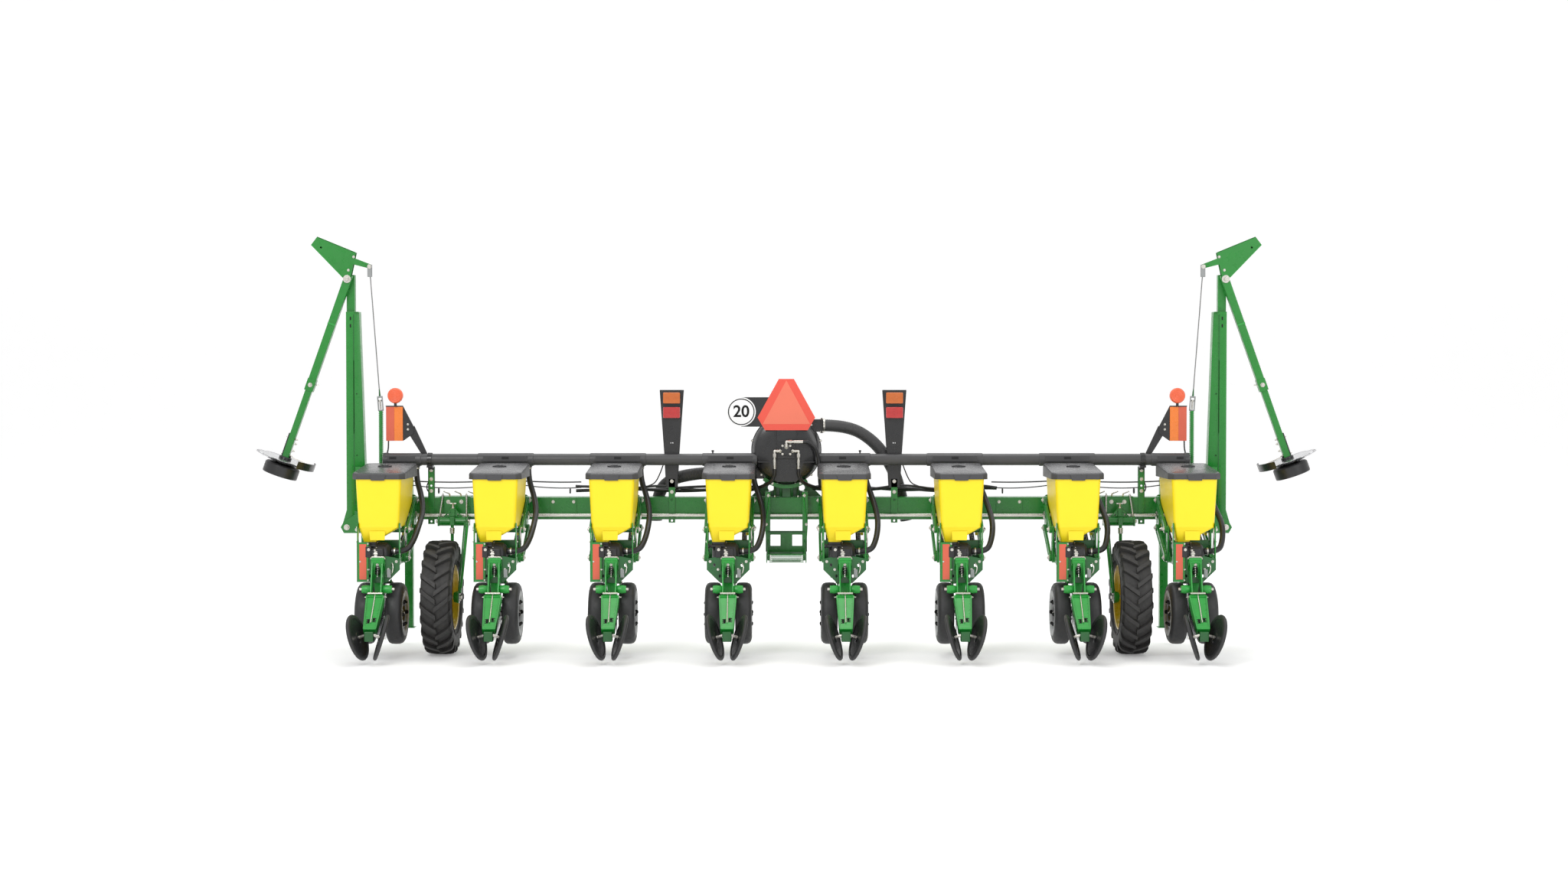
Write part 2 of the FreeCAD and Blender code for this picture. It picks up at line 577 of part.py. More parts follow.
def fan_assembly():
    """Fan housing on its cradle, with the hydraulic motor and the two outlets."""
    rear = FAN_Y - FAN_DEPTH
    housing = rod_y(0, rear, FAN_Y, FAN_Z, FAN_R)
    motor = box(-70, 70, rear - 60, rear, FAN_Z - 90, FAN_Z + 90)
    outlet = box(150, 250, DUCT_Y - 45, DUCT_Y + 45, FAN_Z + 120, FAN_Z + 210)
    lower_outlet = box(-250, -150, DUCT_Y - 45, DUCT_Y + 45, FAN_Z - 200, FAN_Z - 110)
    cradle = plate_y([(-130, FAN_Z - FAN_R + 25), (-40, BAR_TOP), (40, BAR_TOP),
                      (130, FAN_Z - FAN_R + 25)], FAN_Y - 150, FAN_Y - 20)
    cradle = cradle.cut(rod_y(0, rear, FAN_Y, FAN_Z, FAN_R))
    return [fused(housing, outlet, lower_outlet), motor, cradle]


def fan_hoses():
    """The two air ducts from the fan down to their outlets under the toolbar."""
    y = DUCT_Y
    right = cord([(250, y, FAN_Z + 165), (420, y, FAN_Z + 165), (600, y - 2, FAN_Z + 60),
                  (720, y, FAN_Z - 110), (790, BAR_FRONT + 75, FAN_Z - 290),
                  (830, BAR_FRONT + 80, BAR_BOTTOM - 20)], DUCT_R)
    left = cord([(-250, y, FAN_Z - 155), (-420, y, FAN_Z - 155), (-640, y, FAN_Z - 165),
                 (-820, BAR_FRONT + 30, FAN_Z - 215), (-900, BAR_FRONT + 75, FAN_Z - 340),
                 (-900, BAR_FRONT + 80, BAR_BOTTOM - 20)], DUCT_R)
    return [right, left]


def vacuum_hose():
    """Hose of one row, from under its tee round the hopper to the seed meter."""
    side = HOPPER_HALF + LID_OVERHANG + PORT_R + 12
    port_y, port_z = UNIT_Y + PORT_Y, UNIT_Z + PORT_Z
    return cord([(side - 50, PIPE_Y, PIPE_Z - TEE_R - 2 * SEAT), (side - 50, PIPE_Y, PIPE_Z - 130),
                 (side - 8, PIPE_Y - 55, PIPE_Z - 240), (side + 22, PIPE_Y - 170, PIPE_Z - 340),
                 (side + 26, port_y + 180, port_z + 165), (side + 8, port_y + 75, port_z + 70),
                 (side - 30, port_y, port_z), (PORT_END + SEAT, port_y, port_z)], PORT_R)


# ---- lights, signs and reflectors

def lamp_bracket(x):
    """Tapered plate on the toolbar with an amber lamp over a red one."""
    top, bottom, y = BAR_Z + 808, BAR_Z + 143, BAR_REAR - 14
    plate = plate_y([(x - 82, top), (x + 82, top), (x + 52, top - 430), (x + 40, bottom),
                     (x - 40, bottom), (x - 52, top - 430)], y, y + 8)
    strap = box(x - 22, x + 22, BAR_REAR - PLATE, BAR_REAR, BAR_BOTTOM - 20, bottom + 60)
    lamps = [box(x - 60, x + 60, y - 42, y, top - d - 83, top - d) for d in (14, 113)]
    return [plate, strap] + lamps


def end_lamp():
    """Beacon and two-colour reflector at the right end of the manifold pipe."""
    y, low, high = PIPE_Y + PIPE_R + 6, BAR_Z + 461, BAR_Z + 693
    edge = PIPE_HALF - 68
    panel = box(edge, edge + 56, y - 8, y, low, high)
    inner = box(edge - 58, edge, y - 8, y, low, high)
    gusset = plate_y([(edge - 60, low), (edge + 56, low), (edge + 56, high + 130),
                      (edge - 60, high + 130), (edge - 131, (low + high) / 2)], y, y + 6)
    strut = plate_y([(edge - 131, (low + high) / 2), (edge - 90, low + 20),
                     (POST_X + 34, PIPE_Z - 20), (POST_X - 1, PIPE_Z - 20)], y + 6, y + 12)
    beacon = rod_y(edge - 11, y - 45, y, high + 76, 53)
    return [panel, inner, gusset, strut, beacon]


def signs():
    """Slow-moving-vehicle emblem and speed sign on a plate on the fan's rear face."""
    back = FAN_Y - FAN_DEPTH
    low = FAN_Z + 135
    emblem = plate_y([(-145, low), (145, low), (195, low + 86), (51, low + 348),
                      (-51, low + 348), (-195, low + 86)], back - 8, back - 4)
    plate = box(-310, 120, back - 4, back, low + 24, low + 224)
    stem = box(-64, 64, back - 4, back, FAN_Z + 90, low + 24)
    sign = rod_y(-305, back - 8, back - 4, low + 125, 98)
    return [emblem, fused(plate, stem), sign]


# ---- markers, drawn on the right and mirrored to the left

FOLD_X = MARKER_X - 13.0
FOLD_Z = MARKER_BASE_Z + MARKER_HEIGHT
NECK_TOP = FOLD_Z - 221.0
BOOM_Y = BAR_Y - 28 - 2 - BOOM_TUBE / 2
TILT = math.radians(BOOM_TILT)
ALONG = Vector(math.sin(TILT), 0, -math.cos(TILT))
CABLE_Y = BOOM_Y - BOOM_TUBE / 2 - 16
CRANK_X = FOLD_X - 157.0
CRANK_Z = FOLD_Z + 83.0
SPRING_R = 17.0


def marker_arm():
    """Upright inner arm with its fold pin, the unfolding cable and its spring."""
    y0, y1 = BAR_Y - MARKER_DEPTH / 2, BAR_Y + MARKER_DEPTH / 2
    outer, z0 = MARKER_X + 2, MARKER_BASE_Z
    outline = [(MARKER_X - 30, z0 - 30), (MARKER_X + 28, z0 - 30), (MARKER_X + 34, z0 + 10),
               (outer, z0 + 120), (outer, NECK_TOP), (outer - 85, NECK_TOP),
               (outer - 127, z0 + 90)]
    skin = MARKER_SKIN
    pocket = [(outer - 119, z0 + 96), (outer - skin, z0 + 126), (outer - skin, NECK_TOP - skin),
              (outer - 85 + skin, NECK_TOP - skin)]
    main = plate_y(outline, y0, y1).cut(plate_y(pocket, y0 + skin, y1 + 1))
    main = main.cut(rod_y(MARKER_X, y0 - 1, y1 + 1, z0, MARKER_PIN_R + RUNNING))
    neck = box(outer - 56, outer, BAR_Y - 28, BAR_Y + 28, NECK_TOP, FOLD_Z + 30)
    neck = neck.cut(box(outer - 51, outer - 5, BAR_Y - 23, BAR_Y + 23, NECK_TOP + 6, FOLD_Z + 31))
    pin = rod_y(FOLD_X, BOOM_Y - BOOM_TUBE / 2 - 8, BAR_Y + 36, FOLD_Z, 12)
    anchor_z = z0 + 560
    anchor = box(outer - 290, outer - 100, y0 - 8, y0, anchor_z - 15, anchor_z + 15)
    lug = box(outer - 290, outer - 240, CABLE_Y - 10, y0 - 8, anchor_z - 15, anchor_z + 15)
    arm = fused(main, neck, pin, anchor, lug)
    spring_x = outer - 250
    spring_top = anchor_z + 300
    spring = rod((spring_x, CABLE_Y, anchor_z + 15), (spring_x, CABLE_Y, spring_top), SPRING_R)
    cable = rod((spring_x, CABLE_Y, spring_top + 2 * SEAT), (CRANK_X, CABLE_Y, CRANK_Z - 14), 5)
    return [arm, spring, cable]


def square_tube(start, length, size, wall):
    """A square tube that follows the folded boom, from start along its direction."""
    outer = box(-size / 2, size / 2, -size / 2, size / 2, -length, 0)
    inner = box(-size / 2 + wall, size / 2 - wall, -size / 2 + wall, size / 2 - wall,
                -length - 1, 1)
    tube = outer.cut(inner)
    tube.rotate(Vector(0, 0, 0), Vector(0, 1, 0), -BOOM_TILT)
    return moved(tube, start.x, start.y, start.z)


def marker_boom():
    """Folded outer boom: upper tube, telescoped lower tube, gusset, crank and bracket."""
    fold = Vector(FOLD_X, BOOM_Y, FOLD_Z)
    half = BOOM_TUBE / 2
    upper = square_tube(fold - ALONG * 30, 830.0, BOOM_TUBE, BOOM_WALL)
    inner_size = BOOM_TUBE - 2 * BOOM_WALL - 2 * SEAT
    lower = square_tube(fold + ALONG * 650, BOOM_LENGTH - 650, inner_size, BOOM_WALL + 1)
    gusset = plate_y([(FOLD_X - 24, FOLD_Z + 12), (FOLD_X - 60, FOLD_Z + 181),
                      (FOLD_X + 201, FOLD_Z + 288), (FOLD_X + 241, FOLD_Z + 235),
                      (FOLD_X + 26, FOLD_Z + 12)], BOOM_Y - half - 6, BOOM_Y - half)
    crank = plate_y([(FOLD_X - 40, FOLD_Z + 100), (FOLD_X - 52, FOLD_Z + 142),
                     (CRANK_X - 12, CRANK_Z + 14), (CRANK_X - 12, CRANK_Z - 12)],
                    BOOM_Y - half - 6, BOOM_Y - half)
    hole = rod_y(FOLD_X, BOOM_Y - half - 20, BOOM_Y + half + 5, FOLD_Z, 12 + RUNNING)
    tip = fold + ALONG * BOOM_LENGTH
    hub = tip + ALONG * (MARKER_DISC_GAP + MARKER_HUB - SEAT)
    plug = rod((tip.x, tip.y, tip.z), (hub.x, hub.y, hub.z), 11)
    cap = rod((tip.x, tip.y, tip.z), tuple(tip + ALONG * 12), 20)
    return [fused(upper, gusset, crank).cut(hole), lower, fused(plug, cap)]


def marker_disc():
    """Marker disc with its hub and depth band, on the boom's axis."""
    tip = Vector(FOLD_X, BOOM_Y, FOLD_Z) + ALONG * (BOOM_LENGTH + MARKER_DISC_GAP)
    blade = Part.makeCylinder(MARKER_DISC_R, 5, tip, ALONG)
    hub = Part.makeCylinder(28, MARKER_HUB, tip, ALONG)
    band = Part.makeCylinder(120, 70, tip + ALONG * MARKER_HUB, ALONG)
    recess = Part.makeCylinder(112, 60, tip + ALONG * (MARKER_HUB + 11), ALONG)
    bore = Part.makeCylinder(11 + RUNNING, MARKER_HUB + 1, tip - ALONG * 1, ALONG)
    return fused(blade, hub, band.cut(recess)).cut(bore)


# ---- every node by name

def row_nodes(row):
    """The five nodes of one row, counted from the left."""
    x = row_x(row)
    name = "row%d_" % (row + 1)
    seat = dict(x=x, y=UNIT_Y, z=UNIT_Z)
    frame = [unit_weldment(), opener_plate(), closing_arm(), seed_meter()]
    for piece in (opener_disc(), gauge_wheel(), gauge_arm(), closing_wheel()):
        frame += both_sides(piece)
    if row not in (ROWS // 2 - 1, ROWS // 2):
        frame += reflector()
    return {
        name + "upper_arms": [moved(a, x=x, z=UPPER_FRONT_Z) for a in arm_pair(RUNNING)],
        name + "lower_arms": [moved(a, x=x, z=LOWER_FRONT_Z) for a in arm_pair(OPEN_PIVOT)],
        name + "frame": [moved(piece, **seat) for piece in frame],
        name + "hopper": [moved(hopper(), **seat)],
        name + "lid": [moved(hopper_lid(), **seat)],
    }


def side_nodes(side, place):
    """Drive wheel and marker nodes of one side."""
    return {
        side + "_wheel_arm": [place(wheel_arm())],
        side + "_drive_wheel": [place(p) for p in drive_wheel()],
        side + "_marker_arm": [place(p) for p in marker_arm()],
        side + "_marker_boom": [place(p) for p in marker_boom()],
        side + "_marker_disc": [place(marker_disc())],
    }


def all_nodes():
    rows = [row_x(row) for row in range(ROWS)]
    head, hose = row_head(), vacuum_hose()
    nodes = {
        "toolbar": toolbar(),
        "row_heads": [moved(head, x=x) for x in rows],
        "hitch_frame": hitch_frame(),
        "stands_and_step": both_sides(parking_stand()) + [boarding_step()],
        "vacuum_manifold": both_sides(manifold()) + both_sides(manifold_post()),
        "fan_assembly": fan_assembly(),
        "fan_hoses": fan_hoses(),
        "row_vacuum_hoses": [moved(hose, x=x) for x in rows],
        "lights_and_signs": (lamp_bracket(-WHEEL_X / 3 - 18) + lamp_bracket(WHEEL_X / 3 - 27)
                             + end_lamp() + [mirrored(p) for p in end_lamp()] + signs()),
        "drive_shaft": [rod_x(-BAR_HALF + 10, BAR_HALF - 10, SHAFT_Y, SHAFT_Z, SHAFT_R)],
    }
    for row in range(ROWS):
        nodes.update(row_nodes(row))
    nodes.update(side_nodes("left", mirrored))
    nodes.update(side_nodes("right", lambda shape: shape))
    return nodes


def main():
    os.makedirs("parts", exist_ok=True)
    for name, solids in all_nodes().items():
        shape = solids[0] if len(solids) == 1 else Part.makeCompound(solids)
        assert shape.isValid(), name
        shape.exportStep("parts/%s.step" % name)
        print(name, len(shape.Solids))


main()
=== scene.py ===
"""Looks of the eight-row corn planter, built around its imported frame.

Shapes are drawn in millimetres in the frame of the CAD: +X right from behind, +Y the
direction of travel, +Z up. They become metres when a form is made into a Blender piece.
"""
import bmesh
import bpy
import math
from mathutils import Matrix, Vector
from mathutils.geometry import tessellate_polygon


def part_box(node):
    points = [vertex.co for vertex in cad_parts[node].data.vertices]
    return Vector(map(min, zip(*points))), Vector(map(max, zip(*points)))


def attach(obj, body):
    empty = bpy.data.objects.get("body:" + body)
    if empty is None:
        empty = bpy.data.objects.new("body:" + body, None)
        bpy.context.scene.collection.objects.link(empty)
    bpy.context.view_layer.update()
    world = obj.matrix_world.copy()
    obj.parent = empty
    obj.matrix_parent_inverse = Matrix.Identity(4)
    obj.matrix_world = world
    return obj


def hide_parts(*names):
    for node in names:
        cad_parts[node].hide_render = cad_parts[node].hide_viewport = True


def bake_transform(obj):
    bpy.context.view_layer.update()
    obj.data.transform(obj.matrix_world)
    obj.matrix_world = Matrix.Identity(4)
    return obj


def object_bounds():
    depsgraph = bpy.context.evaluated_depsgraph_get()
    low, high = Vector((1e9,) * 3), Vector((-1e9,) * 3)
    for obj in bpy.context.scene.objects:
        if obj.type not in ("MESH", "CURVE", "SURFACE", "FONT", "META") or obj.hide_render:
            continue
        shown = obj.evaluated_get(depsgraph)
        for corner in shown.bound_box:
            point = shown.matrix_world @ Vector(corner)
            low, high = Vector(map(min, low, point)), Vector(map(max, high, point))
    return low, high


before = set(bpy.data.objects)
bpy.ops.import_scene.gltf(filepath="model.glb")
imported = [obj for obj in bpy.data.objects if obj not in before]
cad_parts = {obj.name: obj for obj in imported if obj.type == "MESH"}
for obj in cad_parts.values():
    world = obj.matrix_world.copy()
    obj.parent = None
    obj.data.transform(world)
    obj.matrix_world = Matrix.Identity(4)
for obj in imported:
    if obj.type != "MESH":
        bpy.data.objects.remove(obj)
CAD_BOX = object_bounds()
MM = 0.001
ROWS = 8
SHARP = math.radians(30)                # edges sharper than this are rounded
COIL_STEPS = 14                         # points in each turn of a spring
scene = bpy.context.scene


def corners(node):
    """Lowest and highest corner of a CAD node, in millimetres."""
    return [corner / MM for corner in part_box(node)]


# ---- places taken from the frame
HOPPER_HIGH = corners("row1_hopper")[1]
HOPPER_FRONT, HOPPER_RIM = 327.0, 543.0     # the hopper's front and rim, from the pivot
UNIT_Y, UNIT_Z = HOPPER_HIGH.y - HOPPER_FRONT, HOPPER_HIGH.z - HOPPER_RIM   # lower rear pivot
ROW_X = []
for number in range(1, ROWS + 1):
    low, high = corners("row%d_hopper" % number)
    ROW_X.append((low.x + high.x) / 2)
LINK, LINK_R, LINK_GAP = 400.0, 25.0, 188.0     # length, end radius, lower to upper pair
LINK_DROP = math.radians(26.0)          # slope of the links at rest
PIVOT_Y = corners("row1_lower_arms")[1].y - LINK_R      # front pivots of the linkage
LOWER_Z = UNIT_Z + LINK * math.sin(LINK_DROP)
UPPER_Z = LOWER_Z + LINK_GAP
FLOOR_Z = CAD_BOX[0][2] / MM
BAR_HALF, BAR_Y, BAR_Z, BAR_SIDE = ROW_X[-1] + 165.0, -300.0, 145.0, 152.4
BAR_REAR, BAR_FRONT = BAR_Y - BAR_SIDE / 2, BAR_Y + BAR_SIDE / 2
BAR_TOP, BAR_BOTTOM = BAR_Z + BAR_SIDE / 2, BAR_Z - BAR_SIDE / 2
SHAFT_Y, SHAFT_Z = BAR_REAR - 44.0, BAR_Z - 43.0
PIPE_Y, PIPE_Z = BAR_REAR - 53.5, BAR_Z + 335.0
FAN_REAR, FAN_Z, FAN_R = BAR_REAR - 104.0, BAR_Z + 400.0, 232.0
WHEEL_X = 2286.0                        # middle of each drive wheel
ROW_SPACING = 762.0


# ---- materials

def node(tree, kind, **values):
    """A shader node, with its properties and its sockets' constants."""
    made = tree.nodes.new("ShaderNode" + kind)
    for key, value in values.items():
        if hasattr(made, key):
            setattr(made, key, value)
        else:
            made.inputs[key.replace("_", " ")].default_value = value
    return made


def finish_of(name, colour, rough, metal=0.0, coat=0.0, tint=0.10, spread=0.06, scale=4.0,
              grain=220.0, depth=0.00025, stretch=(1, 1, 1), pattern="noise"):
    """A procedural material: cloudy colour, uneven gloss and a fine relief."""
    mat = bpy.data.materials.new(name)
    mat.use_nodes = True
    tree = mat.node_tree
    link = tree.links.new
    shader = tree.nodes["Principled BSDF"]
    shader.inputs["Metallic"].default_value = metal
    shader.inputs["Coat Weight"].default_value = coat
    shader.inputs["Coat Roughness"].default_value = 0.12
    place = node(tree, "Mapping", Scale=stretch)
    link(node(tree, "TexCoord").outputs["Object"], place.inputs["Vector"])
    cloud = node(tree, "TexNoise", Scale=scale, Detail=5.0, Roughness=0.6)
    link(place.outputs["Vector"], cloud.inputs["Vector"])
    mix = node(tree, "Mix", data_type="RGBA")
    mix.inputs[6].default_value = [c * (1 - tint) for c in colour] + [1]
    mix.inputs[7].default_value = [min(1.0, c * (1 + tint)) for c in colour] + [1]
    link(cloud.outputs["Fac"], mix.inputs[0])
    link(mix.outputs[2], shader.inputs["Base Color"])
    streak = node(tree, "TexNoise", Scale=scale * 6, Detail=4.0)
    link(place.outputs["Vector"], streak.inputs["Vector"])
    gloss = node(tree, "MapRange")
    for socket, value in zip(("From Min", "From Max", "To Min", "To Max"),
                             (0.3, 0.7, max(0.03, rough - spread), min(1.0, rough + spread))):
        gloss.inputs[socket].default_value = value
    link(streak.outputs["Fac"], gloss.inputs["Value"])
    link(gloss.outputs["Result"], shader.inputs["Roughness"])
    if pattern == "noise":
        relief = node(tree, "TexNoise", Scale=grain, Detail=3.0)
        height = relief.outputs["Fac"]
    elif pattern == "cells":
        relief = node(tree, "TexVoronoi", Scale=grain)
        height = relief.outputs["Distance"]
    else:                       # ribs along the axis that pattern names
        relief = node(tree, "TexWave", Scale=grain, Distortion=0.4)
        relief.bands_direction = pattern
        height = relief.outputs["Fac"]
    link(place.outputs["Vector"], relief.inputs["Vector"])
    bump = node(tree, "Bump", Strength=0.6, Distance=depth)
    link(height, bump.inputs["Height"])
    link(bump.outputs["Normal"], shader.inputs["Normal"])
    return mat


LOOK = {
    "green": finish_of("gloss_green_paint", (0.008, 0.205, 0.020), 0.30, coat=0.25, tint=0.16,
                       spread=0.07, grain=90, depth=0.0003),
    # A lighter copy of the green paint, with a coarser relief: painted light, for faces and edges that
    # catch the light.
    "lime": finish_of("lit_green_paint", (0.014, 0.300, 0.036), 0.34, coat=0.25, tint=0.22,
                      spread=0.08, scale=9, grain=160, depth=0.0005),
    # A darker copy of the green paint: painted shade, for parts in shadow and lines along creases.
    "dark_green": finish_of("shaded_green_paint", (0.006, 0.105, 0.018), 0.32, coat=0.2,
                            tint=0.18, grain=110, depth=0.0003),
    "yellow": finish_of("moulded_yellow_poly", (0.93, 0.72, 0.008), 0.40, tint=0.04,
                        spread=0.06, scale=3, grain=420, depth=0.00018),
    "rim": finish_of("yellow_rim_paint", (0.70, 0.47, 0.012), 0.30, coat=0.4, tint=0.12,
                     grain=120, depth=0.0003),
    "lid": finish_of("satin_grey_lid", (0.080, 0.080, 0.084), 0.27, tint=0.08, spread=0.05,
                     grain=520, depth=0.00022),
    "lid_dark": finish_of("lid_skirt_grey", (0.052, 0.052, 0.055), 0.48, tint=0.10,
                          grain=480, depth=0.00025),
    "pipe": finish_of("grey_pipe_plastic", (0.060, 0.060, 0.062), 0.40, tint=0.10,
                      spread=0.06, grain=300, depth=0.0003),
    "black": finish_of("black_gloss_paint", (0.012, 0.012, 0.013), 0.30, coat=0.3, tint=0.25,
                       spread=0.08, grain=140, depth=0.0003),
    "plastic": finish_of("black_moulded_plastic", (0.016, 0.016, 0.017), 0.38, tint=0.25,
                         spread=0.10, scale=12, grain=260, depth=0.0003),
    # Flat near black: painted shade in holes, slots and notches, and the black print of the speed
    # sign's ring and numeral.
    "hole": finish_of("painted_shade_and_print_black", (0.004, 0.004, 0.004), 0.85, tint=0.3),
    "rubber": finish_of("black_wheel_rubber", (0.020, 0.020, 0.021), 0.52, tint=0.25,
                        spread=0.08, scale=7, grain=180, depth=0.0005),
    "tyre": finish_of("tyre_rubber", (0.026, 0.025, 0.024), 0.62, tint=0.35, spread=0.10,
                      scale=8, grain=110, depth=0.0010),
    "hose": finish_of("hose_rubber", (0.014, 0.014, 0.015), 0.40, tint=0.25, spread=0.08,
                      scale=14, grain=240, depth=0.0004),
    "duct": finish_of("duct_rubber", (0.040, 0.040, 0.041), 0.55, tint=0.20, scale=14,
                      grain=320, depth=0.0006, pattern="cells"),
    "zinc": finish_of("zinc_plate", (0.62, 0.60, 0.55), 0.30, metal=1.0, tint=0.14,
                      spread=0.10, scale=24, grain=320, depth=0.0002),
    "steel": finish_of("bright_disc_steel", (0.56, 0.56, 0.57), 0.24, metal=1.0, tint=0.10,
                       spread=0.08, scale=10, grain=160, depth=0.0002, stretch=(1, 1, 6)),
    "grey": finish_of("grey_wheel_ring", (0.27, 0.28, 0.28), 0.42, tint=0.10, scale=16),
    "red": finish_of("red_sign_film", (0.78, 0.088, 0.056), 0.34, tint=0.08, grain=520,
                     depth=0.0002, pattern="cells"),
    "orange": finish_of("orange_sign_film", (0.80, 0.180, 0.108), 0.42, tint=0.06, grain=620,
                        depth=0.0002, pattern="cells"),
    "strip": finish_of("reflective_strip", (0.66, 0.115, 0.060), 0.36, tint=0.12, grain=420,
                       depth=0.0003, pattern="cells"),
    "bright_orange": finish_of("orange_reflector", (0.86, 0.205, 0.018), 0.28, coat=0.5,
                               tint=0.10, grain=300, depth=0.0004, pattern="cells"),
    "amber_lens": finish_of("amber_lens", (0.56, 0.128, 0.014), 0.18, coat=0.5, tint=0.18,
                            scale=14, grain=60, depth=0.0012, pattern="X"),
    "red_lens": finish_of("red_lens", (0.50, 0.024, 0.024), 0.18, coat=0.5, tint=0.18,
                          scale=14, grain=60, depth=0.0012, pattern="X"),
    "beacon": finish_of("orange_red_beacon", (0.80, 0.120, 0.040), 0.24, coat=0.4, tint=0.14,
                        scale=20, grain=70, depth=0.0012, pattern="cells"),
    "cable": finish_of("steel_rope", (0.20, 0.20, 0.20), 0.38, metal=0.6, tint=0.15, scale=30),
    "white": finish_of("white_sign", (0.86, 0.86, 0.86), 0.36, tint=0.03, grain=500,
                       depth=0.0001),
}


# ---- forms

OUT, AHEAD, BACK, UP = (1, 0, 0), (0, 1, 0), (0, -1, 0), (0, 0, 1)
MIRROR = Matrix.Scale(-1, 4, Vector(OUT))
PLACE = {"x": lambda u, v, w: (w, u, v), "y": lambda u, v, w: (u, w, v),
         "z": lambda u, v, w: (u, v, w)}


def ring(u, v, r, stretch=1.0, sides=20):
    """A round or oval outline."""
    return [(u + r * math.cos(a * math.tau / sides), v + r * stretch * math.sin(a * math.tau / sides))
            for a in range(sides)]


def rounded(x0, x1, y0, y1, r, steps=5):
    """A rectangle's outline with rounded corners; r is one radius or four."""
    radii = [r] * 4 if isinstance(r, (int, float)) else r
    outline = []
    for k, (cx, cy, sx, sy) in enumerate(((x1, y1, -1, -1), (x0, y1, 1, -1), (x0, y0, 1, 1),
                                          (x1, y0, -1, 1))):
        for i in range(steps + 1):
            a = math.radians(90 * (k + i / steps))
            outline.append((cx + sx * radii[k] + radii[k] * math.cos(a),
                            cy + sy * radii[k] + radii[k] * math.sin(a)))
    return outline


def turned_to(at, along):
    """A matrix that puts the local Z axis along a direction, at a point."""
    return Matrix.Translation(Vector(at)) @ Vector(along).to_track_quat("Z", "X").to_matrix().to_4x4()


def arc(u, v, r, angles):
    """Points of a round stretch of an outline, at angles in degrees."""
    return [(u + r * math.cos(math.radians(a)), v + r * math.sin(math.radians(a))) for a in angles]


def quad(x0, x1, y0, y1, z):
    """A level rectangle's corners, as one ring of a loft."""
    return [(x0, y0, z), (x1, y0, z), (x1, y1, z), (x0, y1, z)]


def rect_ring(x0, x1, y0, y1, z, r=6):
    """A level rectangle with rounded corners, as one ring of a loft."""
    return [(x, y, z) for x, y in rounded(x0, x1, y0, y1, r, 3)]


def smooth_line(points, steps=8):
    """Points along a smooth curve through the given ones."""
    points = [Vector(p) for p in points]
    ends = [points[0] * 2 - points[1]] + points + [points[-1] * 2 - points[-2]]
    line = []
    for a, b, c, d in zip(ends, ends[1:], ends[2:], ends[3:]):
        for i in range(steps):
            t = i / steps
            line.append(0.5 * (2 * b + (c - a) * t + (2 * a - 5 * b + 4 * c - d) * t * t
                               + (3 * b - a - 3 * c + d) * t ** 3))
    return line + [points[-1]]


